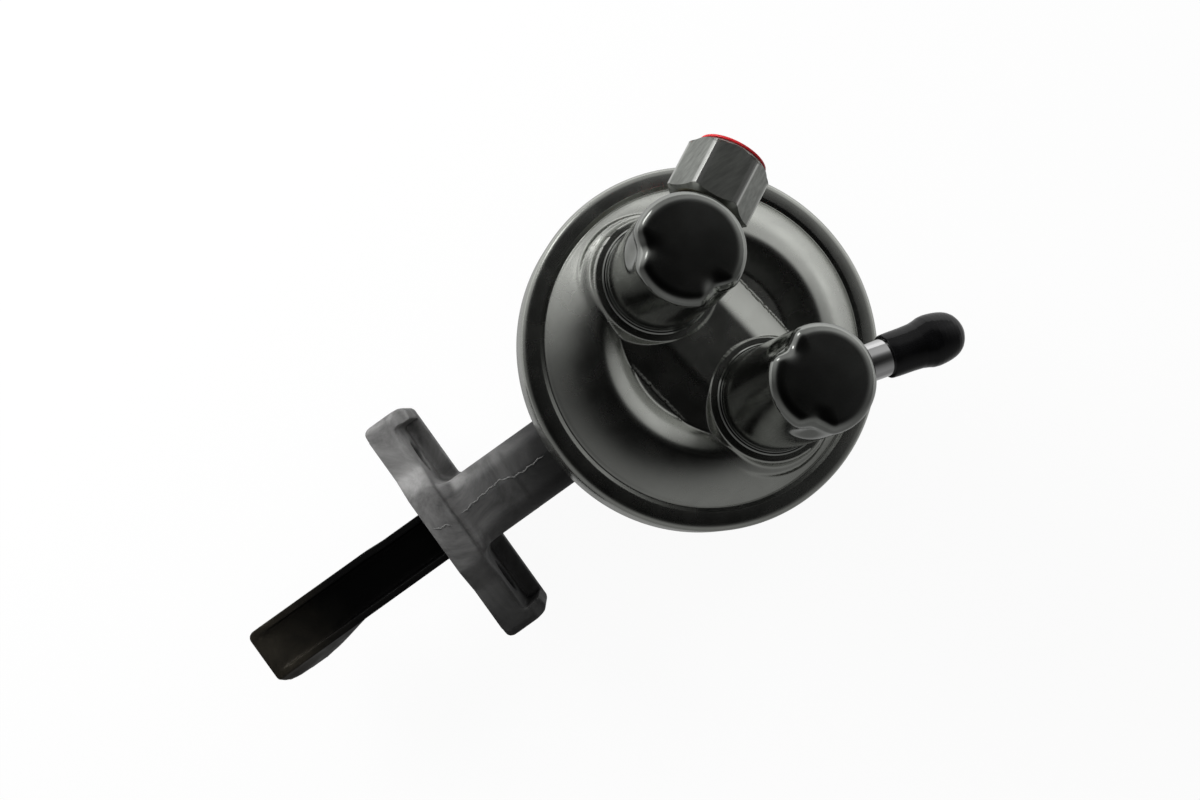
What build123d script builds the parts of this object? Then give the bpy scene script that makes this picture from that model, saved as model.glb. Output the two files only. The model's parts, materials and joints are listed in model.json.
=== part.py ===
from build123d import *
import os
from math import cos, radians, sin

os.makedirs("parts", exist_ok=True)

# Frame: origin at the centre of the mounting face, +Z to the cup side,
# rocker arm towards -X, long side of the flange along Y. Millimetres.

# Mounting flange
flange_length = 63.8
flange_depth = 11.8
flange_plate = 7.4
ear_half_height = 12.0
hub_half_height = 15.2
hub_half_width = 11.0
hub_shoulder = 21.0
ear_corner = 3.0
ear_edge = 2.0
bolt_spacing = 38.0
bolt_hole_r = 4.4
pocket_start = 9.4
pocket_end = 28.0
pocket_floor = -8.0

# Neck between flange and canister
neck_width = 18.8
neck_wall = 2.1
neck_half_height = 14.0
neck_roof = 11.4
neck_corner = 4.5
neck_root_blend = 3.0
neck_bend = 28.0
neck_knee = 55.0
neck_end = 66.0
neck_deep_bottom = -17.3

# Canister position
canister_lean = 12.5
canister_reach = 74.7
canister_rise = 30.0

# Pump cover
sheet = 1.2
rim_r = 44.2
rim_depth = 9.4
rim_lip_r = rim_r - 5.2
rim_shoulder = 1.9
groove_r = rim_r - 5.0
groove_depth = 0.5
ridge_foot_r = rim_r - 5.7
ridge_crest_outer_r = ridge_foot_r - 10.5
ridge_crest_inner_r = ridge_crest_outer_r - 2.6
ridge_height = 7.0
ridge_bend = 2.4
dish_r = ridge_crest_inner_r - 5.9
dish_height = 2.4
pad_height = 7.2
pad_half_width = 17.4
pad_crown = 8.0
seat_ring_r = 14.9
seat_ring_height = 8.0
valve_hole_r = 8.5

# Cups
cup_angle = 98.3
cup_spacing = 38.5
cup_r = 12.5
cup_wall = 1.3
cup_round = 3.0
cup_lip_r = 13.3
cup_lip_height = 1.1
outlet_cup_height = 31.0
inlet_cup_height = 35.5
pinch_foot_r = 0.8
pinch_height = 10.5
pinch_offset = 15.2
pinch_spread = 120.0
pinch_slope = 20.0

# Outlet fitting
outlet_angle = 26.2
outlet_level = 27.15
hex_flats = 17.5
hex_start = 13.2
hex_end = 26.6
hex_twist = -4.0
hex_chamfer_r = 8.2
hex_chamfer = 1.1
hex_neck_r = 6.0
outlet_bore_r = 5.75
outlet_bore_depth = 10.0
outlet_seat_r = 4.2
outlet_passage_r = 2.8
plug_depth = 9.0
plug_flange_r = 8.3
plug_flange = 1.6

# Inlet fitting
inlet_angle = -16.0
inlet_level = 28.7
nipple_r = 3.97
nipple_bore_r = 2.95
nipple_end = 34.0
cap_mouth = 20.5
cap_end = 39.8
cap_sleeve_r = 4.7
cap_bulge_r = 5.35
cap_bulge_start = 30.0
cap_ramp = 2.3
cap_round = 3.4

# Body bowl and link chamber
clamp_top = -2.1
body_flange_r = rim_r - sheet - 0.4
bowl_top_r = body_flange_r - 5.6
bowl_bottom_r = 17.5
bowl_floor = -24.0
bowl_outer_r = body_flange_r - 4.0
bowl_heel_r = 19.0
bowl_bottom = -27.5
chamber_r = 12.0
chamber_wall = 3.0
chamber_floor = -48.5
chamber_bottom = -51.0

# Lever parts
pivot_x = 22.0
pivot_z = 4.0
pin_r = 3.0
pin_half_length = 8.2
plug_r = 4.0
boss_r = 2.7
boss_height = 3.0
arm_width = 13.8
arm_wall = 1.8
arm_top = 4.0
arm_web_bottom = -4.5
arm_tip = -53.4
arm_tip_top = 3.4
arm_tip_bottom = 1.2
arm_tip_ramp = 6.0
arm_floor_end = -33.0
arm_pad_x = -43.0
arm_pad_bottom = -8.5
arm_cheek = 2.0
arm_cheek_start = -28.0
arm_heel = 27.5
arm_bend = -22.0
arm_corner = 1.8
hub_r = 5.3
link_gap = 5.4
link_plate = 1.6
link_top = 4.8
link_web_start = 9.0
crown_half = 5.9
crown_drop = 3.0
crown_foot = 1.45
nose_x = -3.6
nose_y = -5.4
nose_r = 1.9
return_spring_x = 9.5
return_spring_mean_r = 3.8
return_wire_r = 0.6
return_turns = 5

# Pull rod, diaphragm and plates
rod_r = 2.4
rod_top = -2.7
rod_head_top = -40.75
rod_head_r = 4.75
rod_head_height = 2.0
washer_r = 6.0
washer_thickness = 0.8
rivet_r = 3.8
plate_thickness = 1.0
diaphragm_thickness = 0.9
diaphragm_level = -5.5
diaphragm_bend_out = bowl_top_r - 1.0
diaphragm_bend_in = diaphragm_bend_out - 8.0
plate_r = diaphragm_bend_in - 2.0
main_spring_mean_r = 13.0
main_wire_r = 1.0
main_turns = 4
seal_r = 6.0
seal_shelf = 0.8
retainer_r = 15.6
retainer_inner_r = 11.0
retainer_sheet = 1.0

# Valves
valve_flange_r = 10.4
valve_flange = 1.0
valve_body_bottom = 5.2
port_r = 1.3
port_circle_r = 4.8
port_count = 6
disc_r = 7.0
disc_thickness = 1.0
valve_spring_height = 4.0
valve_spring_mean_r = 2.4
valve_wire_r = 0.2
valve_turns = 4
stem_r = 1.2
stem_head_r = 3.2
stem_head = 0.8

# Clearances
running = 0.05
press = 0.02
seat_gap = 0.3
cut_past = 12.0

# Shared planes and axes
lean = radians(canister_lean)
up = Vector(sin(lean), 0, cos(lean))
away = Vector(cos(lean), 0, -sin(lean))
side = Vector(0, 1, 0)
rim_centre = Vector(canister_reach, 0, 0) + up * canister_rise
canister = Plane(origin=rim_centre, x_dir=away, z_dir=up)
section = Plane(origin=rim_centre, x_dir=away, z_dir=side * -1)
canister_axis = Axis(rim_centre, up)
pad_line = away * cos(radians(cup_angle)) + side * sin(radians(cup_angle))
pad_plane = Plane(origin=rim_centre, x_dir=pad_line, z_dir=up)
cup_offset = cup_spacing / 2
outlet_dir = away * cos(radians(outlet_angle)) + side * sin(radians(outlet_angle))
inlet_dir = away * cos(radians(inlet_angle)) + side * sin(radians(inlet_angle))
outlet_foot = rim_centre + pad_line * cup_offset
inlet_foot = rim_centre - pad_line * cup_offset
outlet_base = Plane(origin=outlet_foot, x_dir=outlet_dir, z_dir=up)
inlet_base = Plane(origin=inlet_foot, x_dir=inlet_dir, z_dir=up)
outlet_centre = outlet_foot + up * outlet_level
inlet_centre = inlet_foot + up * inlet_level
outlet_port = Plane(origin=outlet_centre, x_dir=up, z_dir=outlet_dir)
inlet_port = Plane(origin=inlet_centre, x_dir=up, z_dir=inlet_dir)
pivot_point = Vector(pivot_x, 0, pivot_z)
link_length = (rim_centre - pivot_point).dot(away)
link_plane = Plane(origin=pivot_point, x_dir=away, z_dir=side * -1)
pivot_plane = Plane(origin=pivot_point, x_dir=(1, 0, 0), z_dir=(0, -1, 0))
neck_half = neck_width / 2
neck_inner = neck_half - neck_wall
plug_thickness = neck_half - pin_half_length
pocket_span = hub_half_height - pocket_floor
pocket_mid = pocket_floor + pocket_span / 2
pocket_centre = (pocket_start + pocket_end) / 2
arm_half = arm_width / 2
arm_inner = arm_half - arm_wall
web_top = arm_web_bottom + arm_wall
floor_lead = arm_tip_ramp / 3
arm_fade_level = arm_tip_top + (arm_top - arm_tip_top) / 3
body_rim_bottom = sheet - rim_depth
plate_top = diaphragm_level + plate_thickness
plate_bottom = diaphragm_level - diaphragm_thickness - plate_thickness
diaphragm_bottom = plate_bottom + plate_thickness
retainer_top = bowl_floor + retainer_sheet
washer_top = plate_top + washer_thickness
link_half = link_gap / 2 + link_plate
valve_top = seat_ring_height + valve_flange


def cup_section(foot):
    """Plane through a cup's own axis, local x outwards and local y up."""
    return Plane(origin=foot, x_dir=away, z_dir=side * -1)


def pad_form(inset):
    """Crowned bridge pad that carries both cups."""
    with BuildPart() as form:
        with BuildSketch(pad_plane.offset(-rim_depth)):
            SlotCenterToCenter(cup_spacing, 2 * (pad_half_width - inset))
        extrude(amount=rim_depth + pad_height - inset)
        pad_top = faces().sort_by(canister_axis)[-1]
        fillet(pad_top.edges(), pad_crown - inset)
    return form.part


def sheet_form(inset):
    """Solid under the cover's skin, drawn inwards by the inset."""
    crest = ridge_height - inset
    slope = 0.35 * inset
    with BuildPart() as form:
        with BuildSketch(section):
            with BuildLine():
                Polyline(
                    (0, -rim_depth),
                    (0, dish_height - inset),
                    (dish_r + slope, dish_height - inset),
                    (ridge_crest_inner_r + slope, crest),
                    (ridge_crest_outer_r - slope, crest),
                    (ridge_foot_r, -inset),
                    (ridge_foot_r, -rim_depth),
                    close=True,
                )
            make_face()
            bends = vertices().filter_by_position(Axis.Y, -inset - 0.1, crest + 0.1)
            fillet(bends.filter_by_position(Axis.X, dish_r - 1, ridge_foot_r - 1), ridge_bend)
        revolve(axis=canister_axis)
        add(pad_form(inset))
        with BuildSketch(pad_plane):
            with Locations((cup_offset, 0), (-cup_offset, 0)):
                Circle(seat_ring_r - inset)
        extrude(amount=seat_ring_height - inset)
    return form.part


# Pump cover
inner_form = sheet_form(sheet)
outer_form = sheet_form(0)
with BuildPart() as cover:
    add(outer_form)
    with BuildSketch(section):
        with BuildLine():
            Polyline(
                (ridge_foot_r - 2, -sheet),
                (ridge_foot_r - 2, 0),
                (groove_r - 0.6, 0),
                (groove_r, -groove_depth),
                (groove_r + 0.6, 0),
                (rim_r, 0),
                (rim_r, -rim_depth),
                (ridge_foot_r - 2, -rim_depth),
                close=True,
            )
        make_face()
        shoulder = vertices().group_by(Axis.X)[-1]
        fillet(shoulder.sort_by(Axis.Y)[-1], rim_shoulder)
        fillet(vertices().group_by(Axis.X)[-1].sort_by(Axis.Y)[0], sheet / 2)
    revolve(axis=canister_axis)
    add(inner_form, mode=Mode.SUBTRACT)
    with BuildSketch(canister.offset(-sheet)):
        Circle(rim_r - sheet)
    extrude(amount=body_rim_bottom + sheet, mode=Mode.SUBTRACT)
    with BuildSketch(canister.offset(body_rim_bottom)):
        Circle(rim_lip_r)
    extrude(amount=-sheet, mode=Mode.SUBTRACT)
    with BuildSketch(pad_plane):
        with Locations((cup_offset, 0), (-cup_offset, 0)):
            Circle(valve_hole_r)
    extrude(amount=2 * seat_ring_height, mode=Mode.SUBTRACT)
cover.part.label = "cover"
export_step(cover.part, "parts/cover.step")


def cup_form(base, foot, height, inset):
    """Solid under a cup's skin with its two pinched notches."""
    top = seat_ring_height + height
    with BuildPart() as form:
        with BuildSketch(cup_section(foot)):
            with BuildLine():
                Polyline(
                    (0, seat_ring_height),
                    (cup_r - inset, seat_ring_height),
                    (cup_r - inset, top - inset),
                    (0, top - inset),
                    close=True,
                )
            make_face()
            corner = vertices().group_by(Axis.X)[-1].sort_by(Axis.Y)[-1]
            fillet(corner, cup_round - inset)
        revolve(axis=Axis(foot, up))
        with BuildSketch(base.offset(top - pinch_height)):
            with PolarLocations(pinch_offset, 2, pinch_spread, pinch_spread, endpoint=True):
                Circle(pinch_foot_r + inset)
        extrude(amount=pinch_height + 1, taper=-pinch_slope, mode=Mode.SUBTRACT)
    return form.part


# Outlet cup
outlet_cup_skin = cup_form(outlet_base, outlet_foot, outlet_cup_height, 0)
outlet_cup_room = cup_form(outlet_base, outlet_foot, outlet_cup_height, cup_wall)
with BuildPart() as outlet_cup:
    add(outlet_cup_skin)
    with BuildSketch(outlet_base.offset(seat_ring_height)):
        Circle(cup_lip_r)
    extrude(amount=cup_lip_height)
    chamfer(faces().sort_by(canister_axis)[1].outer_wire().edges(), 0.4)
    add(outlet_cup_room, mode=Mode.SUBTRACT)
    with BuildSketch(outlet_port):
        Circle(hex_neck_r)
    extrude(amount=hex_start, mode=Mode.SUBTRACT)
outlet_cup.part.label = "outlet_cup"
export_step(outlet_cup.part, "parts/outlet_cup.step")

# Inlet cup
inlet_cup_skin = cup_form(inlet_base, inlet_foot, inlet_cup_height, 0)
inlet_cup_room = cup_form(inlet_base, inlet_foot, inlet_cup_height, cup_wall)
with BuildPart() as inlet_cup:
    add(inlet_cup_skin)
    with BuildSketch(inlet_base.offset(seat_ring_height)):
        Circle(cup_lip_r)
    extrude(amount=cup_lip_height)
    chamfer(faces().sort_by(canister_axis)[1].outer_wire().edges(), 0.4)
    add(inlet_cup_room, mode=Mode.SUBTRACT)
    with BuildSketch(inlet_port):
        Circle(nipple_r)
    extrude(amount=hex_start, mode=Mode.SUBTRACT)
inlet_cup.part.label = "inlet_cup"
export_step(inlet_cup.part, "parts/inlet_cup.step")

# Outlet hex fitting
outlet_side = Plane(origin=outlet_centre, x_dir=outlet_dir, z_dir=outlet_port.y_dir)
outlet_axis = Axis(outlet_centre, outlet_dir)
hex_corner_r = hex_flats / 2 / cos(radians(30))
with BuildPart() as outlet_hex_fitting:
    with BuildSketch(outlet_port.offset(hex_start)):
        RegularPolygon(hex_flats / 2, 6, major_radius=False, rotation=hex_twist)
    extrude(amount=hex_end - hex_start)
    with BuildSketch(outlet_side):
        with BuildLine():
            Polyline(
                (hex_start, 0),
                (hex_start, hex_chamfer_r),
                (hex_start + hex_chamfer, hex_corner_r + 0.1),
                (hex_end - hex_chamfer, hex_corner_r + 0.1),
                (hex_end, hex_chamfer_r),
                (hex_end, 0),
                close=True,
            )
        make_face()
    revolve(axis=outlet_axis, mode=Mode.INTERSECT)
    with BuildSketch(outlet_port.offset(cup_r - cup_wall - 0.6)):
        Circle(hex_neck_r - press)
    extrude(amount=hex_start - cup_r + cup_wall + 0.6)
    with BuildSketch(outlet_side):
        with BuildLine():
            Polyline(
                (cup_r - cup_wall - 1, 0),
                (cup_r - cup_wall - 1, outlet_passage_r),
                (hex_end - outlet_bore_depth - 2.0, outlet_passage_r),
                (hex_end - outlet_bore_depth - 0.8, outlet_seat_r),
                (hex_end - outlet_bore_depth, outlet_bore_r),
                (hex_end - 0.6, outlet_bore_r),
                (hex_end, outlet_bore_r + 0.6),
                (hex_end, 0),
                close=True,
            )
        make_face()
    revolve(axis=outlet_axis, mode=Mode.SUBTRACT)
outlet_hex_fitting.part.label = "outlet_hex_fitting"
export_step(outlet_hex_fitting.part, "parts/outlet_hex_fitting.step")

# Outlet shipping plug
with BuildPart() as outlet_plug:
    with BuildSketch(outlet_side):
        with BuildLine():
            Polyline(
                (hex_end - plug_depth, 0),
                (hex_end - plug_depth, outlet_bore_r - 0.9),
                (hex_end - plug_depth + 0.8, outlet_bore_r - running),
                (hex_end, outlet_bore_r - running),
                (hex_end, plug_flange_r),
                (hex_end + plug_flange, plug_flange_r),
                (hex_end + plug_flange, outlet_bore_r - 1.5),
                (hex_end - plug_depth + 1.5, outlet_bore_r - 1.5),
                (hex_end - plug_depth + 1.5, 0),
                close=True,
            )
        make_face()
        fillet(vertices().group_by(Axis.Y)[-1], 0.5)
    revolve(axis=outlet_axis)
outlet_plug.part.label = "outlet_plug"
export_step(outlet_plug.part, "parts/outlet_plug.step")

# Inlet nipple
inlet_side = Plane(origin=inlet_centre, x_dir=inlet_dir, z_dir=inlet_port.y_dir)
inlet_axis = Axis(inlet_centre, inlet_dir)
with BuildPart() as inlet_nipple:
    with BuildSketch(inlet_port.offset(cup_r - cup_wall - 0.8)):
        Circle(nipple_r - press)
        Circle(nipple_bore_r, mode=Mode.SUBTRACT)
    extrude(amount=nipple_end - cup_r + cup_wall + 0.8)
    rims = edges().filter_by(GeomType.CIRCLE).group_by(inlet_axis)[-1]
    chamfer(rims, 0.3)
inlet_nipple.part.label = "inlet_nipple"
export_step(inlet_nipple.part, "parts/inlet_nipple.step")

# Inlet shipping cap
with BuildPart() as nipple_cap:
    with BuildSketch(inlet_side):
        with BuildLine():
            Polyline(
                (cap_mouth, 0),
                (cap_mouth, cap_sleeve_r),
                (cap_bulge_start, cap_sleeve_r),
                (cap_bulge_start + cap_ramp, cap_bulge_r),
                (cap_end, cap_bulge_r),
                (cap_end, 0),
                close=True,
            )
        make_face()
        fillet(vertices().group_by(Axis.X)[-1].sort_by(Axis.Y)[-1], cap_round)
        ramp_end = cap_bulge_start + cap_ramp
        fillet(vertices().filter_by_position(Axis.X, cap_bulge_start - 0.1, ramp_end + 0.1), 1.0)
    revolve(axis=inlet_axis)
    with BuildSketch(inlet_port.offset(cap_mouth)):
        Circle(nipple_r + running)
    extrude(amount=nipple_end - cap_mouth + seat_gap, mode=Mode.SUBTRACT)
nipple_cap.part.label = "nipple_cap"
export_step(nipple_cap.part, "parts/nipple_cap.step")

# Lower body casting
with BuildPart() as neck_block:
    with BuildSketch(Plane.XZ.offset(-neck_half)):
        with BuildLine():
            Polyline(
                (flange_plate - 1, -neck_half_height),
                (flange_plate - 1, neck_half_height),
                (neck_end, neck_half_height),
                (neck_end, neck_deep_bottom),
                (neck_knee, neck_deep_bottom),
                (neck_bend, -neck_half_height),
                close=True,
            )
        make_face()
    extrude(amount=neck_width)
    fillet(edges().filter_by(Axis.X).group_by(Axis.Z)[-1], neck_corner)
    fillet(edges().filter_by(Axis.X).group_by(Axis.Z)[0], neck_corner / 2)

with BuildPart() as neck_root:
    with BuildSketch(Plane.XY.offset(-neck_half_height)):
        with Locations((flange_plate + neck_root_blend / 2 - 0.5, 0)):
            Rectangle(neck_root_blend + 1, neck_width + 2 * neck_root_blend)
        with Locations(
            (flange_plate + neck_root_blend, neck_half + neck_root_blend),
            (flange_plate + neck_root_blend, -neck_half - neck_root_blend),
        ):
            Circle(neck_root_blend, mode=Mode.SUBTRACT)
    extrude(amount=2 * neck_half_height)
    with BuildSketch(Plane.YZ.offset(flange_plate - 1)):
        RectangleRounded(neck_width + 2 * neck_root_blend, 2 * neck_half_height, neck_corner)
    extrude(amount=neck_root_blend + 2, mode=Mode.INTERSECT)

with BuildPart() as lower_body:
    with BuildSketch(Plane.XY.offset(-ear_half_height)):
        with Locations((flange_depth / 2, 0)):
            RectangleRounded(flange_depth, flange_length, ear_corner)
    extrude(amount=2 * ear_half_height)
    with BuildSketch(Plane.YZ):
        RectangleRounded(flange_length, 2 * ear_half_height, ear_edge)
    extrude(amount=flange_depth, mode=Mode.INTERSECT)
    with BuildSketch(Plane.YZ):
        with BuildLine():
            Polyline(
                (hub_shoulder, ear_half_height - ear_edge),
                (hub_half_width, hub_half_height),
                (-hub_half_width, hub_half_height),
                (-hub_shoulder, ear_half_height - ear_edge),
                (-hub_shoulder, ear_edge - ear_half_height),
                (-hub_half_width, -hub_half_height),
                (hub_half_width, -hub_half_height),
                (hub_shoulder, ear_edge - ear_half_height),
                close=True,
            )
        make_face()
        fillet(vertices().filter_by_position(Axis.X, -hub_shoulder + 1, hub_shoulder - 1), ear_edge)
    extrude(amount=flange_plate)
    with BuildSketch(Plane.YZ.offset(flange_plate)):
        with Locations((pocket_centre, pocket_mid), (-pocket_centre, pocket_mid)):
            Rectangle(pocket_end - pocket_start, pocket_span)
    extrude(amount=flange_depth, mode=Mode.SUBTRACT)
    add(neck_block.part)
    add(neck_root.part)
    with BuildSketch(section):
        with BuildLine():
            Polyline(
                (0, bowl_bottom + 1),
                (chamber_r + chamber_wall, bowl_bottom + 1),
                (chamber_r + chamber_wall, chamber_bottom),
                (0, chamber_bottom),
                close=True,
            )
        make_face()
        fillet(vertices().group_by(Axis.X)[-1].sort_by(Axis.Y)[0], chamber_wall)
    revolve(axis=canister_axis)
    with BuildSketch(Plane.XZ.offset(-neck_inner)):
        with BuildLine():
            Polyline(
                (-1, -neck_roof),
                (-1, neck_roof),
                (neck_end - 1, neck_roof),
                (neck_end - 1, neck_deep_bottom + neck_wall),
                (neck_knee, neck_deep_bottom + neck_wall),
                (neck_bend, -neck_roof),
                close=True,
            )
        make_face()
    extrude(amount=2 * neck_inner, mode=Mode.SUBTRACT)
    with BuildSketch(canister.offset(bowl_bottom)):
        Circle(chamber_r)
    extrude(amount=chamber_floor - bowl_bottom, mode=Mode.SUBTRACT)
    with BuildSketch(section):
        with BuildLine():
            Polyline(
                (0, clamp_top),
                (body_flange_r, clamp_top),
                (body_flange_r, body_rim_bottom),
                (bowl_outer_r, body_rim_bottom),
                (bowl_outer_r, body_rim_bottom - 1.4),
                (bowl_heel_r, bowl_bottom),
                (0, bowl_bottom),
                close=True,
            )
        make_face()
        fillet(vertices().filter_by_position(Axis.X, bowl_heel_r - 1, bowl_heel_r + 1), 4.0)
    revolve(axis=canister_axis)
    with BuildSketch(section):
        with BuildLine():
            Polyline(
                (0, clamp_top),
                (bowl_top_r, clamp_top),
                (bowl_top_r, clamp_top - 2.5),
                (bowl_bottom_r, bowl_floor),
                (0, bowl_floor),
                close=True,
            )
        make_face()
        fillet(vertices().filter_by_position(Axis.X, bowl_bottom_r - 1, bowl_bottom_r + 1), 1.0)
    revolve(axis=canister_axis, mode=Mode.SUBTRACT)
    with BuildSketch(canister.offset(bowl_floor)):
        Circle(seal_r + press)
    extrude(amount=bowl_bottom - bowl_floor + seal_shelf, mode=Mode.SUBTRACT)
    with BuildSketch(canister.offset(bowl_floor)):
        Circle(rod_r + 0.6)
    extrude(amount=bowl_bottom - bowl_floor - 1, mode=Mode.SUBTRACT)
    with BuildSketch(Plane.YZ):
        with Locations((bolt_spacing / 2, 0), (-bolt_spacing / 2, 0)):
            Circle(bolt_hole_r)
    extrude(amount=flange_plate, mode=Mode.SUBTRACT)
    with BuildSketch(pivot_plane.offset(-neck_half)):
        Circle(pin_r + press)
    extrude(amount=neck_width, mode=Mode.SUBTRACT)
    with BuildSketch(pivot_plane.offset(pin_half_length), pivot_plane.offset(-neck_half)):
        Circle(plug_r + press)
    extrude(amount=plug_thickness, mode=Mode.SUBTRACT)
    with BuildSketch(Plane.XY.offset(neck_roof - boss_height)):
        with Locations((return_spring_x, 0)):
            Circle(boss_r)
    extrude(amount=boss_height + 0.5)
lower_body.part.label = "lower_body"
export_step(lower_body.part, "parts/lower_body.step")

# Pivot pin
with BuildPart() as pivot_pin:
    with BuildSketch(pivot_plane.offset(-pin_half_length)):
        Circle(pin_r)
    extrude(amount=2 * pin_half_length)
    chamfer(edges().filter_by(GeomType.CIRCLE), 0.4)
pivot_pin.part.label = "pivot_pin"
export_step(pivot_pin.part, "parts/pivot_pin.step")

# Pin plugs
with BuildPart() as pin_plugs:
    with BuildSketch(pivot_plane.offset(pin_half_length), pivot_plane.offset(-neck_half)):
        Circle(plug_r)
    extrude(amount=plug_thickness)
pin_plugs.part.label = "pin_plugs"
export_step(pin_plugs.part, "parts/pin_plugs.step")

# Rocker arm
with BuildPart() as rocker_arm:
    with BuildSketch(Plane.XZ.offset(-arm_half)):
        with BuildLine():
            Polyline(
                (arm_tip, arm_tip_bottom),
                (arm_tip, arm_tip_top),
                (arm_tip + arm_tip_ramp, arm_top),
                (pivot_x - hub_r - 3, arm_top),
            )
            Line((pivot_x - hub_r - 3, arm_top), (pivot_x - hub_r, pivot_z + 3))
            Line((pivot_x - hub_r, pivot_z + 3), (pivot_x - 2, pivot_z + hub_r))
            Line((pivot_x - 2, pivot_z + hub_r), (pivot_x + 2, pivot_z + hub_r))
            Line((pivot_x + 2, pivot_z + hub_r), (pivot_x + hub_r, pivot_z + 2))
            Line((pivot_x + hub_r, pivot_z + 2), (arm_heel, arm_web_bottom))
            Line((arm_heel, arm_web_bottom), (arm_bend, arm_web_bottom))
            Spline(
                (arm_bend, arm_web_bottom),
                (arm_pad_x, arm_pad_bottom),
                (arm_tip, arm_tip_bottom),
                tangents=((-1, 0), (-0.5, 0.85)),
            )
        make_face()
    extrude(amount=arm_width + arm_cheek)
    with BuildSketch(Plane.XY.offset(arm_pad_bottom - 2)):
        with BuildLine():
            Polyline(
                (arm_cheek_start, -arm_half),
                (arm_heel, -arm_half),
                (arm_heel, arm_half),
                (arm_tip, arm_half),
                (arm_tip, -arm_half - 0.1 * arm_cheek),
            )
            Spline(
                (arm_tip, -arm_half - 0.1 * arm_cheek),
                (arm_pad_x - 2, -arm_half - arm_cheek),
                (arm_cheek_start, -arm_half),
                tangents=((1, -0.4), (1, 0.1)),
            )
        make_face()
        tip_corners = vertices().group_by(Axis.X)[0]
        fillet(tip_corners, arm_corner)
    extrude(amount=hub_r - arm_pad_bottom + arm_top + 5, mode=Mode.INTERSECT)
    with BuildSketch(Plane.YZ.offset(arm_tip - 1)):
        with BuildLine():
            Polyline(
                (-arm_half, arm_top),
                (-arm_half, arm_top + 1),
                (-arm_half - arm_cheek - 1, arm_top + 1),
                (-arm_half - arm_cheek - 1, arm_pad_bottom),
                (-arm_half - arm_cheek, arm_pad_bottom),
                close=True,
            )
        make_face()
    extrude(amount=arm_cheek_start - arm_tip + 3, mode=Mode.SUBTRACT)
    with BuildSketch(Plane.XZ.offset(-arm_inner)):
        with BuildLine():
            Polyline(
                (arm_tip + floor_lead, arm_fade_level),
                (arm_tip + floor_lead, pivot_z + hub_r + 1),
                (arm_heel + 1, pivot_z + hub_r + 1),
                (arm_heel + 1, web_top),
                (arm_floor_end, web_top),
            )
            Spline(
                (arm_floor_end, web_top),
                (arm_tip + floor_lead, arm_fade_level),
                tangents=((-1, 0), (-1, 0.25)),
            )
        make_face()
    extrude(amount=2 * arm_inner, mode=Mode.SUBTRACT)
    with BuildSketch(pivot_plane.offset(-arm_half)):
        Circle(pin_r + running)
    extrude(amount=arm_width, mode=Mode.SUBTRACT)
rocker_arm.part.label = "rocker_arm"
export_step(rocker_arm.part, "parts/rocker_arm.step")

# Arm return spring
with BuildPart() as arm_return_spring:
    spring_foot = Vector(return_spring_x, 0, web_top + return_wire_r)
    spring_rise = neck_roof - web_top - 2 * return_wire_r
    with BuildLine() as coil:
        Helix(spring_rise / return_turns, spring_rise, return_spring_mean_r, center=spring_foot)
    with BuildSketch(Plane(origin=coil.line @ 0, z_dir=coil.line % 0)):
        Circle(return_wire_r)
    sweep()
arm_return_spring.part.label = "arm_return_spring"
export_step(arm_return_spring.part, "parts/arm_return_spring.step")

# Link lever
with BuildPart() as link_lever:
    with BuildSketch(link_plane.offset(-link_half)):
        with BuildLine():
            Polyline(
                (link_length - crown_half, -crown_foot),
                (0, -hub_r + 0.8),
                (0, hub_r - 0.8),
                (link_web_start + 1, link_top),
                (link_length + crown_half - 2, link_top),
                (link_length + crown_half, link_top - 2),
                (link_length + crown_half, -crown_foot),
            )
            ThreePointArc(
                (link_length + crown_half, -crown_foot),
                (link_length, -crown_drop),
                (link_length - crown_half, -crown_foot),
            )
        make_face()
        Circle(hub_r - 0.8)
        with BuildSketch(mode=Mode.PRIVATE) as nose:
            Circle(hub_r - 0.8)
            with Locations((nose_x, nose_y)):
                Circle(nose_r)
            make_hull()
        add(nose.sketch)
    extrude(amount=2 * link_half)
    with BuildSketch(link_plane.offset(-link_gap / 2)):
        with BuildLine():
            Polyline(
                (-cut_past, -cut_past),
                (-cut_past, nose_y + nose_r),
                (-3, -hub_r),
                (-3, hub_r + 1),
                (link_web_start, hub_r + 1),
                (link_web_start, link_top - link_plate),
                (link_length - rod_r - 3, link_top - link_plate),
                (link_length - rod_r - 3, link_top + 1),
                (link_length + cut_past, link_top + 1),
                (link_length + cut_past, -cut_past),
                close=True,
            )
        make_face()
    extrude(amount=link_gap, mode=Mode.SUBTRACT)
    with BuildSketch(link_plane.offset(-link_half)):
        Circle(pin_r + running)
    extrude(amount=2 * link_half, mode=Mode.SUBTRACT)
link_lever.part.label = "link_lever"
export_step(link_lever.part, "parts/link_lever.step")

# Pull rod
with BuildPart() as pull_rod:
    with BuildSketch(section):
        with BuildLine():
            Polyline(
                (0, rod_head_top - rod_head_height),
                (rod_head_r - 0.8, rod_head_top - rod_head_height),
                (rod_head_r, rod_head_top - rod_head_height + 0.8),
                (rod_head_r, rod_head_top),
                (rod_r, rod_head_top),
                (rod_r, washer_top),
                (rivet_r, washer_top),
                (rivet_r - 0.5, rod_top - 0.2),
                (rivet_r - 1.5, rod_top),
                (0, rod_top),
                close=True,
            )
        make_face()
    revolve(axis=canister_axis)
pull_rod.part.label = "pull_rod"
export_step(pull_rod.part, "parts/pull_rod.step")

# Rod washer
with BuildPart() as rod_washer:
    with BuildSketch(canister.offset(plate_top)):
        Circle(washer_r)
        Circle(rod_r + press, mode=Mode.SUBTRACT)
    extrude(amount=washer_thickness)
rod_washer.part.label = "rod_washer"
export_step(rod_washer.part, "parts/rod_washer.step")

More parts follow.
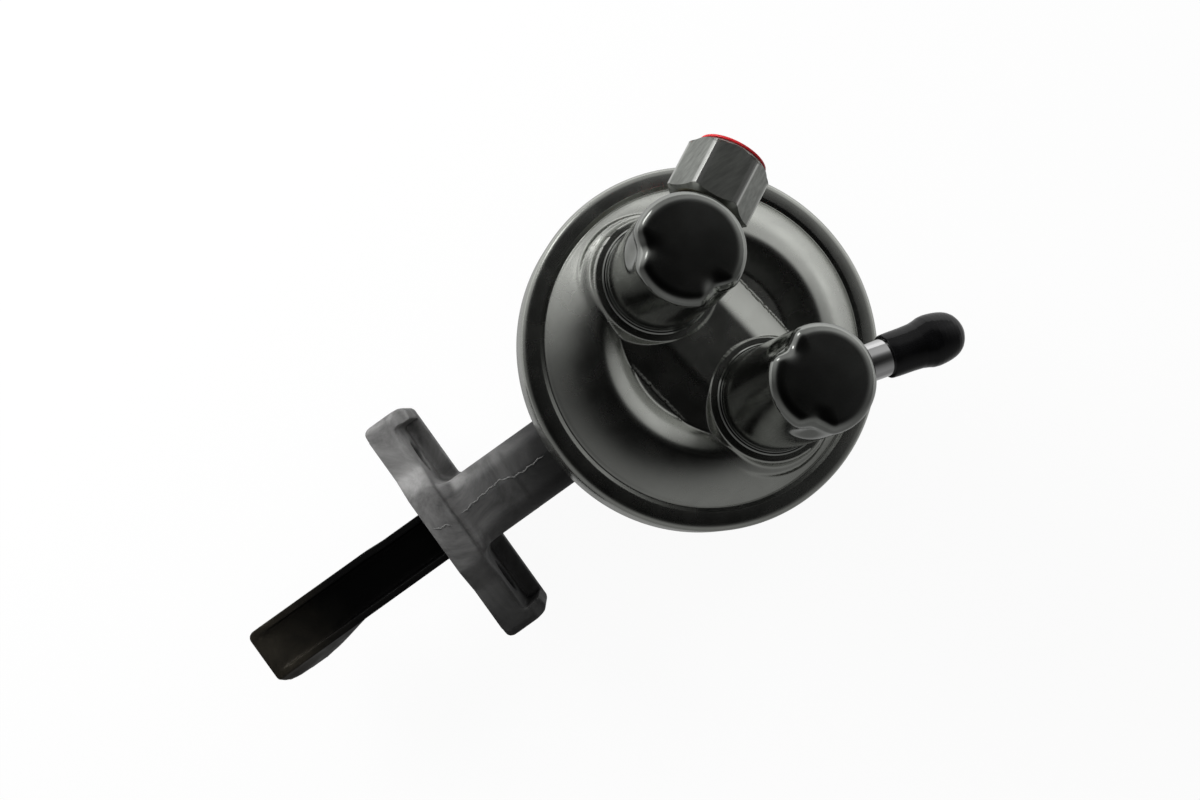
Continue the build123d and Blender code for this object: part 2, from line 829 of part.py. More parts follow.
# Upper diaphragm plate
with BuildPart() as upper_diaphragm_plate:
    with BuildSketch(canister.offset(diaphragm_level)):
        Circle(plate_r)
        Circle(rod_r + press, mode=Mode.SUBTRACT)
    extrude(amount=plate_thickness)
    fillet(edges().filter_by(GeomType.CIRCLE).group_by(SortBy.RADIUS)[-1].sort_by(canister_axis)[-1], 0.6)
upper_diaphragm_plate.part.label = "upper_diaphragm_plate"
export_step(upper_diaphragm_plate.part, "parts/upper_diaphragm_plate.step")

# Lower diaphragm plate
with BuildPart() as lower_diaphragm_plate:
    with BuildSketch(canister.offset(plate_bottom)):
        Circle(plate_r)
        Circle(rod_r + press, mode=Mode.SUBTRACT)
    extrude(amount=plate_thickness)
    fillet(edges().filter_by(GeomType.CIRCLE).group_by(SortBy.RADIUS)[-1].sort_by(canister_axis)[0], 0.6)
lower_diaphragm_plate.part.label = "lower_diaphragm_plate"
export_step(lower_diaphragm_plate.part, "parts/lower_diaphragm_plate.step")

# Diaphragm
bend_mid = (diaphragm_bend_in + diaphragm_bend_out) / 2
level_mid = (diaphragm_level - sheet) / 2
with BuildPart() as diaphragm:
    with BuildSketch(section):
        with BuildLine():
            Line((rod_r + press, diaphragm_level), (diaphragm_bend_in, diaphragm_level))
            Spline(
                (diaphragm_bend_in, diaphragm_level),
                (bend_mid, level_mid),
                (diaphragm_bend_out, -sheet),
                tangents=((1, 0), (1, 0)),
            )
            Line((diaphragm_bend_out, -sheet), (body_flange_r, -sheet))
            Line((body_flange_r, -sheet), (body_flange_r, clamp_top))
            Line((body_flange_r, clamp_top), (diaphragm_bend_out, clamp_top))
            Spline(
                (diaphragm_bend_out, clamp_top),
                (bend_mid, level_mid - diaphragm_thickness),
                (diaphragm_bend_in, diaphragm_level - diaphragm_thickness),
                tangents=((-1, 0), (-1, 0)),
            )
            Line((diaphragm_bend_in, diaphragm_bottom), (rod_r + press, diaphragm_bottom))
            Line((rod_r + press, diaphragm_bottom), (rod_r + press, diaphragm_level))
        make_face()
    revolve(axis=canister_axis)
diaphragm.part.label = "diaphragm"
export_step(diaphragm.part, "parts/diaphragm.step")

# Diaphragm spring
with BuildPart() as diaphragm_spring:
    main_foot = rim_centre + up * (retainer_top + main_wire_r)
    main_rise = plate_bottom - retainer_top - 2 * main_wire_r
    with BuildLine() as coil:
        Helix(main_rise / main_turns, main_rise, main_spring_mean_r, center=main_foot, direction=up)
    with BuildSketch(Plane(origin=coil.line @ 0, z_dir=coil.line % 0)):
        Circle(main_wire_r)
    sweep()
diaphragm_spring.part.label = "diaphragm_spring"
export_step(diaphragm_spring.part, "parts/diaphragm_spring.step")

# Oil seal
with BuildPart() as oil_seal:
    with BuildSketch(canister.offset(bowl_bottom + seal_shelf)):
        Circle(seal_r)
        Circle(rod_r + running, mode=Mode.SUBTRACT)
    extrude(amount=bowl_floor - bowl_bottom - seal_shelf)
oil_seal.part.label = "oil_seal"
export_step(oil_seal.part, "parts/oil_seal.step")

# Seal retainer and spring seat
with BuildPart() as seal_retainer:
    with BuildSketch(section):
        with BuildLine():
            Polyline(
                (rod_r + 0.6, bowl_floor),
                (retainer_r, bowl_floor),
                (retainer_r, retainer_top),
                (retainer_inner_r, retainer_top),
                (retainer_inner_r - 0.6, retainer_top + 2.5),
                (rod_r + 0.6, retainer_top + 2.5),
                close=True,
            )
        make_face()
    revolve(axis=canister_axis)
seal_retainer.part.label = "seal_retainer"
export_step(seal_retainer.part, "parts/seal_retainer.step")


def valve_seat_form(base):
    """Ported valve seat pressed into the cover."""
    with BuildPart() as form:
        with BuildSketch(base.offset(valve_body_bottom)):
            Circle(valve_hole_r - press)
        extrude(amount=seat_ring_height - valve_body_bottom)
        with BuildSketch(base.offset(seat_ring_height)):
            Circle(valve_flange_r)
        extrude(amount=valve_flange)
        with BuildSketch(base.offset(valve_body_bottom)):
            with PolarLocations(port_circle_r, port_count):
                Circle(port_r)
            Circle(stem_r + press)
        extrude(amount=valve_top - valve_body_bottom, mode=Mode.SUBTRACT)
    return form.part


def valve_disc_form(base, level):
    """Flat disc that slides on the valve stem."""
    with BuildPart() as form:
        with BuildSketch(base.offset(level)):
            Circle(disc_r)
            Circle(stem_r + running, mode=Mode.SUBTRACT)
        extrude(amount=disc_thickness)
    return form.part


def valve_spring_form(foot, level):
    """Light coil between the disc and the stem's head."""
    rise = valve_spring_height - 2 * valve_wire_r
    coil_foot = foot + up * (level + valve_wire_r)
    with BuildPart() as form:
        with BuildLine() as coil:
            Helix(rise / valve_turns, rise, valve_spring_mean_r, center=coil_foot, direction=up)
        with BuildSketch(Plane(origin=coil.line @ 0, z_dir=coil.line % 0)):
            Circle(valve_wire_r)
        sweep()
    return form.part


def valve_stem_form(base, shaft_end, length, head_level):
    """Stem pressed through the seat, with a head that holds the spring."""
    with BuildPart() as form:
        with BuildSketch(base.offset(shaft_end)):
            Circle(stem_r)
        extrude(amount=length)
        with BuildSketch(base.offset(head_level)):
            Circle(stem_head_r)
        extrude(amount=stem_head)
    return form.part


# Outlet valve
outlet_valve_seat = valve_seat_form(outlet_base)
outlet_valve_seat.label = "outlet_valve_seat"
export_step(outlet_valve_seat, "parts/outlet_valve_seat.step")
outlet_valve_disc = valve_disc_form(outlet_base, valve_top)
outlet_valve_disc.label = "outlet_valve_disc"
export_step(outlet_valve_disc, "parts/outlet_valve_disc.step")
outlet_spring_level = valve_top + disc_thickness
outlet_valve_spring = valve_spring_form(outlet_foot, outlet_spring_level)
outlet_valve_spring.label = "outlet_valve_spring"
export_step(outlet_valve_spring, "parts/outlet_valve_spring.step")
outlet_head = outlet_spring_level + valve_spring_height
outlet_stem_length = outlet_head - valve_body_bottom
outlet_valve_stem = valve_stem_form(outlet_base, valve_body_bottom, outlet_stem_length, outlet_head)
outlet_valve_stem.label = "outlet_valve_stem"
export_step(outlet_valve_stem, "parts/outlet_valve_stem.step")

# Inlet valve
inlet_valve_seat = valve_seat_form(inlet_base)
inlet_valve_seat.label = "inlet_valve_seat"
export_step(inlet_valve_seat, "parts/inlet_valve_seat.step")
inlet_disc_level = valve_body_bottom - disc_thickness
inlet_valve_disc = valve_disc_form(inlet_base, inlet_disc_level)
inlet_valve_disc.label = "inlet_valve_disc"
export_step(inlet_valve_disc, "parts/inlet_valve_disc.step")
inlet_spring_level = inlet_disc_level - valve_spring_height
inlet_valve_spring = valve_spring_form(inlet_foot, inlet_spring_level)
inlet_valve_spring.label = "inlet_valve_spring"
export_step(inlet_valve_spring, "parts/inlet_valve_spring.step")
inlet_head = inlet_spring_level - stem_head
inlet_stem_length = valve_top - inlet_spring_level
inlet_valve_stem = valve_stem_form(inlet_base, inlet_spring_level, inlet_stem_length, inlet_head)
inlet_valve_stem.label = "inlet_valve_stem"
export_step(inlet_valve_stem, "parts/inlet_valve_stem.step")
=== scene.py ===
"""Looks of the mechanical fuel pump: dressed pieces, finishes, camera and light."""
import json
import logging
import math
from dataclasses import dataclass
from enum import Enum
from typing import Iterable, Sequence

import bmesh
import bpy
from mathutils import Matrix, Vector
from mathutils.bvhtree import BVHTree


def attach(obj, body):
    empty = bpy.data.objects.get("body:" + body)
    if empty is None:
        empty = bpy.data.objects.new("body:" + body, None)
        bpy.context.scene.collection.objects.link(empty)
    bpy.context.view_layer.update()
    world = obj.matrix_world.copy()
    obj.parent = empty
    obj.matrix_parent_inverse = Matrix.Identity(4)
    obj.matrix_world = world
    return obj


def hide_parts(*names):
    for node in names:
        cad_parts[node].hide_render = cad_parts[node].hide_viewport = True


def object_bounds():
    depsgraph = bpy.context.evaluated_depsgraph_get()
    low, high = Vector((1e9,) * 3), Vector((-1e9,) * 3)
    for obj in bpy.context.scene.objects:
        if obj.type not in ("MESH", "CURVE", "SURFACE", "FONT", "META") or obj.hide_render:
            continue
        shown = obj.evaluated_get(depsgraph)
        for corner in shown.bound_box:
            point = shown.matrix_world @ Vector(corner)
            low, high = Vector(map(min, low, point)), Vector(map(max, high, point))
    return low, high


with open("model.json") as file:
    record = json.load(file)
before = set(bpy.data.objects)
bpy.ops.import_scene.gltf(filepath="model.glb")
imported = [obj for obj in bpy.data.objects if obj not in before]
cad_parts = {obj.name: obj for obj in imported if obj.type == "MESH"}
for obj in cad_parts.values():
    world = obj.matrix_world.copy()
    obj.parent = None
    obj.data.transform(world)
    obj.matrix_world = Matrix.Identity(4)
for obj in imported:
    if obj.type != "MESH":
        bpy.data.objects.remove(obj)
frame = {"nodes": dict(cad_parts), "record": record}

CAD_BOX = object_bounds()
LOG = logging.getLogger("fuel_pump")
MM = 0.001

Point = tuple[float, float]
Point3 = tuple[float, float, float]
Colour = tuple[float, float, float]
Socket = bpy.types.NodeSocket


class Body(Enum):
    """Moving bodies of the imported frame."""

    PUMP = "pump_body"
    ARM = "rocker_arm"
    CAP = "nipple_cap"
    PLUG = "outlet_plug"


# Placing


@dataclass(frozen=True)
class Layout:
    """Where the canister and its fittings stand in the frame, in millimetres."""

    lean_deg: float = 12.5
    reach: float = 74.7
    rise: float = 30.0
    cup_angle_deg: float = 98.3
    cup_offset: float = 19.25
    ring_top: float = 8.0
    cup_inner: float = 10.6
    outlet_angle_deg: float = 26.2
    outlet_level: float = 27.15
    inlet_angle_deg: float = -16.0
    inlet_level: float = 28.7

    @property
    def up(self) -> Vector:
        """Direction of the canister's axis."""
        lean = math.radians(self.lean_deg)
        return Vector((math.sin(lean), 0.0, math.cos(lean)))

    @property
    def away(self) -> Vector:
        """Direction in the rim's plane that points away from the arm."""
        lean = math.radians(self.lean_deg)
        return Vector((math.cos(lean), 0.0, -math.sin(lean)))

    @property
    def rim_centre(self) -> Vector:
        """Centre of the rim's top."""
        return Vector((self.reach, 0.0, 0.0)) + self.up * self.rise

    def heading(self, angle_deg: float) -> Vector:
        """Direction in the rim's plane.

        Args:
            angle_deg: Angle from the away direction towards +Y.

        Returns:
            The unit direction.
        """
        turn = math.radians(angle_deg)
        return self.away * math.cos(turn) + Vector((0.0, math.sin(turn), 0.0))

    def foot(self, sign: int) -> Vector:
        """Point of a cup's axis at the rim's level; +1 is the outlet cup."""
        return self.rim_centre + self.heading(self.cup_angle_deg) * (self.cup_offset * sign)

    def stand(self, origin: Vector, x_dir: Vector, z_dir: Vector) -> Matrix:
        """Placement in metres of a piece drawn in millimetres.

        Args:
            origin: Where the piece's own origin goes, in millimetres.
            x_dir: Direction of its X axis.
            z_dir: Direction of its Z axis.

        Returns:
            The matrix that takes the piece's millimetres to the frame's metres.
        """
        y_dir = z_dir.cross(x_dir)
        turn = Matrix((x_dir, y_dir, z_dir)).transposed().to_4x4()
        return Matrix.Scale(MM, 4) @ Matrix.Translation(origin) @ turn


LAYOUT = Layout()


# Drawing help


def smooth_max(a: float, b: float, blend: float) -> float:
    """The larger of two heights with a rounded inner corner."""
    near = max(blend - abs(a - b), 0.0) / blend
    return max(a, b) + near * near * blend * 0.25


def smooth_min(a: float, b: float, blend: float) -> float:
    """The smaller of two heights with a rounded outer corner."""
    return -smooth_max(-a, -b, blend)


def smooth_step(low: float, high: float, value: float) -> float:
    """Zero below low, one above high, and an even curve between."""
    t = min(max((value - low) / (high - low), 0.0), 1.0)
    return t * t * (3.0 - 2.0 * t)


def rounded(corners: Sequence[Point3], steps: int = 5) -> list[Point]:
    """Outline whose corners are turned into arcs.

    Args:
        corners: Each corner as (r, h, corner radius).
        steps: Number of spans in each arc.

    Returns:
        The points of the open outline.
    """
    points: list[Point] = []
    last = len(corners) - 1
    for i, (r, h, radius) in enumerate(corners):
        here = Vector((r, h))
        if radius <= 0.0 or i in (0, last):
            points.append((r, h))
            continue
        before = (Vector(corners[i - 1][:2]) - here).normalized()
        after = (Vector(corners[i + 1][:2]) - here).normalized()
        half = math.acos(max(-1.0, min(1.0, before.dot(after)))) / 2.0
        reach = radius / math.tan(half)
        centre = here + (before + after).normalized() * (radius / math.sin(half))
        start = here + before * reach - centre
        end = here + after * reach - centre
        sweep = math.pi - 2.0 * half
        side = 1.0 if start.x * end.y - start.y * end.x > 0.0 else -1.0
        for k in range(steps + 1):
            turn = side * sweep * k / steps
            c, s = math.cos(turn), math.sin(turn)
            points.append((centre.x + start.x * c - start.y * s, centre.y + start.x * s + start.y * c))
    return points


def spun(profile: Sequence[Point], segments: int) -> bmesh.types.BMesh:
    """Surface of revolution about the Z axis.

    Args:
        profile: Points as (radius, height).
        segments: Number of steps round the axis.

    Returns:
        A new bmesh in millimetres.
    """
    bm = bmesh.new()
    verts = [bm.verts.new((r, 0.0, h)) for r, h in profile]
    edges = [bm.edges.new(pair) for pair in zip(verts, verts[1:])]
    bmesh.ops.spin(
        bm,
        geom=verts + edges,
        cent=(0, 0, 0),
        axis=(0, 0, 1),
        angle=math.tau,
        steps=segments,
        use_merge=True,
    )
    bmesh.ops.remove_doubles(bm, verts=bm.verts, dist=1e-4)
    bmesh.ops.recalc_face_normals(bm, faces=bm.faces)
    return bm


def subdivided(points: Sequence[Point], span: float) -> list[Point]:
    """The same outline with no run longer than the span.

    Args:
        points: The outline.
        span: Longest run.

    Returns:
        The points of the finer outline.
    """
    out: list[Point] = [points[0]]
    for (r0, h0), (r1, h1) in zip(points, points[1:]):
        parts = max(1, math.ceil(math.hypot(r1 - r0, h1 - h0) / span))
        out += [(r0 + (r1 - r0) * k / parts, h0 + (h1 - h0) * k / parts) for k in range(1, parts + 1)]
    return out


def grown_ring(
    bm: bmesh.types.BMesh, edges: Sequence[bmesh.types.BMEdge]
) -> tuple[list[bmesh.types.BMVert], list[bmesh.types.BMEdge]]:
    """Extrudes a closed ring of edges in place.

    Args:
        bm: The mesh.
        edges: Edges of the ring.

    Returns:
        The vertices and the edges of the new ring.
    """
    grown = bmesh.ops.extrude_edge_only(bm, edges=edges)["geom"]
    verts = [item for item in grown if isinstance(item, bmesh.types.BMVert)]
    fresh = [item for item in grown if isinstance(item, bmesh.types.BMEdge)]
    return verts, [edge for edge in fresh if all(vert in verts for vert in edge.verts)]


def finished(
    bm: bmesh.types.BMesh,
    name: str,
    place: Matrix,
    material: bpy.types.Material,
    body: Body,
    nodes: Iterable[str] = (),
    smooth_deg: float = 40.0,
) -> bpy.types.Object:
    """Turns a bmesh into a shown piece that rides on a body.

    Args:
        bm: The mesh in the piece's own millimetres; it is freed.
        name: Name of the piece.
        place: Placement from those millimetres to the frame.
        material: Finish of the piece.
        body: Body that the piece moves with.
        nodes: CAD nodes that the piece stands for.
        smooth_deg: Edges sharper than this stay crisp.

    Returns:
        The new object.
    """
    bmesh.ops.transform(bm, matrix=place, verts=bm.verts)
    limit = math.radians(smooth_deg)
    for face in bm.faces:
        face.smooth = True
    for edge in bm.edges:
        edge.smooth = not (len(edge.link_faces) == 2 and edge.calc_face_angle(0.0) > limit)
    mesh = bpy.data.meshes.new(name)
    bm.to_mesh(mesh)
    bm.free()
    mesh.materials.append(material)
    piece = bpy.data.objects.new(name, mesh)
    bpy.context.scene.collection.objects.link(piece)
    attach(piece, body.value)
    if nodes:
        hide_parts(*nodes)
    return piece


# Finishes


def fill_ramp(ramp: bpy.types.Node, stops: Sequence[tuple[float, Colour]]) -> None:
    """Gives a colour ramp its stops, each a position and a colour.

    Args:
        ramp: The ramp node.
        stops: The stops, in order.
    """
    elements = ramp.color_ramp.elements
    while len(elements) < len(stops):
        elements.new(0.5)
    for element, (position, colour) in zip(elements, stops):
        element.position = position
        element.color = (*colour, 1.0)


class Shader:
    """Small writer for one material's nodes."""

    def __init__(self, name: str) -> None:
        """Starts an empty material with a Principled shader.

        Args:
            name: Name of the material.
        """
        self.material = bpy.data.materials.new(name)
        self.material.use_nodes = True
        self.tree = self.material.node_tree
        self.nodes = self.tree.nodes
        self.bsdf = self.nodes["Principled BSDF"]
        self.coords = self.nodes.new("ShaderNodeTexCoord").outputs["Object"]

    def link(self, source: Socket, target: Socket) -> None:
        """Joins two sockets."""
        self.tree.links.new(source, target)

    def mapped(self, scale: Point3, turn: Point3) -> Socket:
        """Object coordinates, scaled and turned.

        Args:
            scale: Scale on each axis.
            turn: Rotation in radians.

        Returns:
            The vector output.
        """
        node = self.nodes.new("ShaderNodeMapping")
        node.inputs["Scale"].default_value = scale
        node.inputs["Rotation"].default_value = turn
        self.link(self.coords, node.inputs["Vector"])
        return node.outputs["Vector"]

    def noise(
        self,
        scale: float,
        detail: float = 4.0,
        rough: float = 0.55,
        vector: Socket | None = None,
        distortion: float = 0.0,
    ) -> Socket:
        """Noise pattern.

        Args:
            scale: Waves in a metre.
            detail: Number of finer layers.
            rough: Strength of the finer layers.
            vector: Coordinates, or None for the object's own.
            distortion: How far the pattern is bent.

        Returns:
            The value output.
        """
        node = self.nodes.new("ShaderNodeTexNoise")
        node.inputs["Scale"].default_value = scale
        node.inputs["Detail"].default_value = detail
        node.inputs["Roughness"].default_value = rough
        node.inputs["Distortion"].default_value = distortion
        self.link(vector or self.coords, node.inputs["Vector"])
        return node.outputs["Fac"]

    def along(self, way: Point3) -> Socket:
        """Distance in metres along a direction.

        Args:
            way: The direction; its length scales the result.

        Returns:
            The value output.
        """
        node = self.nodes.new("ShaderNodeVectorMath")
        node.operation = "DOT_PRODUCT"
        node.inputs[1].default_value = way
        self.link(self.coords, node.inputs[0])
        return node.outputs["Value"]

    def attribute(self, name: str) -> Socket:
        """Value that the mesh stores under a name.

        Args:
            name: Name of the attribute.

        Returns:
            The value output.
        """
        node = self.nodes.new("ShaderNodeAttribute")
        node.attribute_name = name
        return node.outputs["Fac"]

    def ramp(self, source: Socket, stops: Sequence[tuple[float, Colour]]) -> Socket:
        """Colour ramp.

        Args:
            source: Pattern that picks the colour.
            stops: Each stop as (position, colour).

        Returns:
            The colour output.
        """
        node = self.nodes.new("ShaderNodeValToRGB")
        fill_ramp(node, stops)
        self.link(source, node.inputs["Fac"])
        return node.outputs["Color"]

    def spread(self, source: Socket, low: float, high: float, start: float = 0.3, end: float = 0.7) -> Socket:
        """Value of a pattern mapped to a range.

        Args:
            source: The pattern.
            low: Result at the start and below it.
            high: Result at the end and above it.
            start: Lower end of the pattern's range.
            end: Upper end of the pattern's range.

        Returns:
            The value output.
        """
        node = self.nodes.new("ShaderNodeMapRange")
        node.inputs["From Min"].default_value = start
        node.inputs["From Max"].default_value = end
        node.inputs["To Min"].default_value = low
        node.inputs["To Max"].default_value = high
        self.link(source, node.inputs["Value"])
        return node.outputs["Result"]

    def bump(self, source: Socket, depth_mm: float, normal: Socket | None = None) -> Socket:
        """Bump from a height pattern.

        Args:
            source: The pattern of heights.
            depth_mm: Height of the pattern in millimetres.
            normal: Normal that the bump is laid on, or None for the surface's own.

        Returns:
            The normal output.
        """
        node = self.nodes.new("ShaderNodeBump")
        node.inputs["Strength"].default_value = 1.0
        node.inputs["Distance"].default_value = depth_mm * MM
        self.link(source, node.inputs["Height"])
        if normal is not None:
            self.link(normal, node.inputs["Normal"])
        return node.outputs["Normal"]

    def mixed(self, factor: Socket, first: Socket | Colour, second: Socket | Colour) -> Socket:
        """Colour mix.

        Args:
            factor: Share of the second colour.
            first: Colour where the factor is 0.
            second: Colour where the factor is 1.

        Returns:
            The colour output.
        """
        node = self.nodes.new("ShaderNodeMix")
        node.data_type = "RGBA"
        self.link(factor, node.inputs["Factor"])
        for socket, value in ((node.inputs[6], first), (node.inputs[7], second)):
            if isinstance(value, Socket):
                self.link(value, socket)
            else:
                socket.default_value = (*value, 1.0)
        return node.outputs[2]

    def done(self, colour: Socket, rough: Socket, normal: Socket, metallic: float) -> bpy.types.Material:
        """Joins the patterns to the Principled shader.

        Args:
            colour: Base colour.
            rough: Roughness.
            normal: Normal with its bumps.
            metallic: Share of metal.

        Returns:
            The finished material.
        """
        for name, source in (("Base Color", colour), ("Roughness", rough), ("Normal", normal)):
            self.link(source, self.bsdf.inputs[name])
        self.bsdf.inputs["Metallic"].default_value = metallic
        return self.material


@dataclass(frozen=True)
class PlatedSteel:
    """Drawn, turned or plated metal with a mottled colour, a fine grain and slight waves."""

    name: str
    light: Colour
    dark: Colour
    rough_low: float
    rough_high: float
    mottle_scale: float = 60.0
    smear_ratio: float = 2.3
    grain_scale: float = 900.0
    grain_depth_mm: float = 0.0005
    wave_depth_mm: float = 0.0
    wave_scale: float = 45.0

    def build(self) -> bpy.types.Material:
        """Makes the material.

        Returns:
            The finished material.
        """
        s = Shader(self.name)
        mottle = s.noise(self.mottle_scale, detail=5.0, rough=0.6, distortion=0.4)
        colour = s.ramp(mottle, ((0.3, self.dark), (0.7, self.light)))
        smear = s.noise(self.mottle_scale * self.smear_ratio, detail=3.0)
        rough = s.spread(smear, self.rough_low, self.rough_high)
        normal = s.bump(s.noise(self.grain_scale, detail=2.0), self.grain_depth_mm)
        if self.wave_depth_mm > 0.0:
            normal = s.bump(s.noise(self.wave_scale, detail=1.0, rough=0.4), self.wave_depth_mm, normal)
        return s.done(colour, rough, normal, 1.0)


@dataclass(frozen=True)
class TurnedHexSteel:
    """Plated bar steel with drawing marks along it and painted highlights on its less rough corners."""

    name: str = "fitting_zinc"
    light: Colour = (0.48, 0.495, 0.465)
    dark: Colour = (0.30, 0.31, 0.29)
    # Colour of the painted highlight on the corners.
    painted_light_colour: Colour = (0.70, 0.71, 0.68)
    streak_scale: Point3 = (70.0, 900.0, 900.0)
    streak_depth_mm: float = 0.0018
    rough_flat: float = 0.50
    rough_corners: float = 0.34

    def build(self) -> bpy.types.Material:
        """Makes the material.

        Returns:
            The finished material.
        """
        s = Shader(self.name)
        turn = (0.0, 0.0, -math.radians(LAYOUT.outlet_angle_deg))
        streaks = s.noise(1.0, detail=4.0, rough=0.6, vector=s.mapped(self.streak_scale, turn))
        stain = s.noise(120.0, detail=4.0, rough=0.6, distortion=0.5)
        base = s.ramp(streaks, ((0.35, self.dark), (0.65, self.light)))
        tinted = s.mixed(s.spread(stain, 0.0, 0.5), base, self.dark)
        # Painted highlight: the marked corners get a brighter colour, and less roughness.
        painted_highlight = s.attribute("painted_highlight")
        rough = s.spread(painted_highlight, self.rough_flat, self.rough_corners, 0.0, 1.0)
        return s.done(s.mixed(painted_highlight, tinted, self.painted_light_colour), rough, s.bump(streaks, self.streak_depth_mm), 1.0)


@dataclass(frozen=True)
class CastAluminium:
    """Matte die-cast skin with flow marks and fine pores.

    Painted light and shade: pale at the +Y ear and the mounting face, a darker shaded copy away from them,
    and painted shade that darkens it further along the neck towards the bowl.
    """

    name: str = "cast_aluminium"
    light: Colour = (0.34, 0.337, 0.333)
    dark: Colour = (0.11, 0.109, 0.108)
    # Colours of the darker shaded copy: painted shade.
    shaded_copy_light: Colour = (0.050, 0.050, 0.049)
    shaded_copy_dark: Colour = (0.020, 0.020, 0.020)
    # Painted light: direction and span over which the pale copy is mixed in.
    painted_light_way: Point3 = (-0.5, 1.0, 0.0)
    painted_light_from: float = -0.026
    painted_light_to: float = 0.014
    # Painted shade along the neck: its share, start and end.
    neck_painted_shade: float = 0.85
    neck_shade_from: float = 0.012
    neck_shade_to: float = 0.034
    rough_low: float = 0.46
    rough_high: float = 0.64
    pore_depth_mm: float = 0.05
    lump_depth_mm: float = 0.12
    metallic: float = 0.35

    def build(self) -> bpy.types.Material:
        """Makes the material.

        Returns:
            The finished material.
        """
        s = Shader(self.name)
        flow = s.noise(70.0, detail=7.0, rough=0.68, distortion=0.9)
        # Painted light: the pale, lit copy of the colours.
        pale = s.ramp(flow, ((0.34, self.dark), (0.64, self.light)))
        # Painted shade: the darker, shaded copy of the colours.
        painted_shade_skin = s.ramp(flow, ((0.30, self.shaded_copy_dark), (0.68, self.shaded_copy_light)))
        painted_light_share = s.spread(s.along(self.painted_light_way), 0.0, 1.0, self.painted_light_from, self.painted_light_to)
        skin = s.mixed(painted_light_share, painted_shade_skin, pale)
        # Painted shade: the colour darkens along the neck towards the bowl.
        away = s.spread(s.along((1.0, 0.0, 0.0)), 0.0, self.neck_painted_shade, self.neck_shade_from, self.neck_shade_to)
        rough = s.spread(s.noise(120.0, detail=4.0), self.rough_low, self.rough_high)
        pores = s.bump(s.noise(650.0, detail=6.0, rough=0.7), self.pore_depth_mm)
        normal = s.bump(s.noise(95.0, detail=3.0, rough=0.5), self.lump_depth_mm, pores)
        return s.done(s.mixed(away, skin, self.shaded_copy_dark), rough, normal, self.metallic)


@dataclass(frozen=True)
class BlackSteel:
    """Black steel with painted light: a lighter, brownish colour towards the end of the arm."""

    name: str = "black_steel"
    film: Colour = (0.006, 0.006, 0.006)
    # Colour of the painted light towards the arm's end.
    painted_light_colour: Colour = (0.050, 0.044, 0.033)
    tip_light_from: float = 0.030
    tip_light_to: float = 0.056
    rough_low: float = 0.36
    rough_high: float = 0.58
    skin_depth_mm: float = 0.02
    metallic: float = 0.6

    def build(self) -> bpy.types.Material:
        """Makes the material.

        Returns:
            The finished material.
        """
        s = Shader(self.name)
        stain = s.noise(55.0, detail=6.0, rough=0.65, distortion=1.0)
        colour = s.ramp(stain, ((0.30, self.film), (0.62, self.painted_light_colour)))
        # Painted light: the lighter, brownish colour is mixed in towards the end of the arm.
        reach = s.spread(s.along((-1.0, 0.0, 0.0)), 0.0, 1.0, self.tip_light_from, self.tip_light_to)
        rough = s.spread(s.noise(170.0, detail=4.0), self.rough_low, self.rough_high)
        skin = s.bump(s.noise(800.0, detail=4.0), self.skin_depth_mm)
        return s.done(s.mixed(reach, self.film, colour), rough, skin, self.metallic)


@dataclass(frozen=True)
class MouldedSkin:
    """Rubber or plastic with a fine moulded skin."""

    name: str
    colour: Colour
    rough: float
    depth_mm: float = 0.01
    shine: float = 0.5

    def build(self) -> bpy.types.Material:
        """Makes the material.

        Returns:
            The finished material.
        """
        s = Shader(self.name)
        pale = tuple(min(1.0, c * 1.35 + 0.004) for c in self.colour)
        colour = s.ramp(s.noise(70.0, detail=4.0), ((0.35, self.colour), (0.75, pale)))
        rough = s.spread(s.noise(150.0, detail=3.0), self.rough * 0.85, self.rough * 1.2)
        s.bsdf.inputs["Specular IOR Level"].default_value = self.shine
        return s.done(colour, rough, s.bump(s.noise(700.0, detail=3.0), self.depth_mm), 0.0)


# Cover


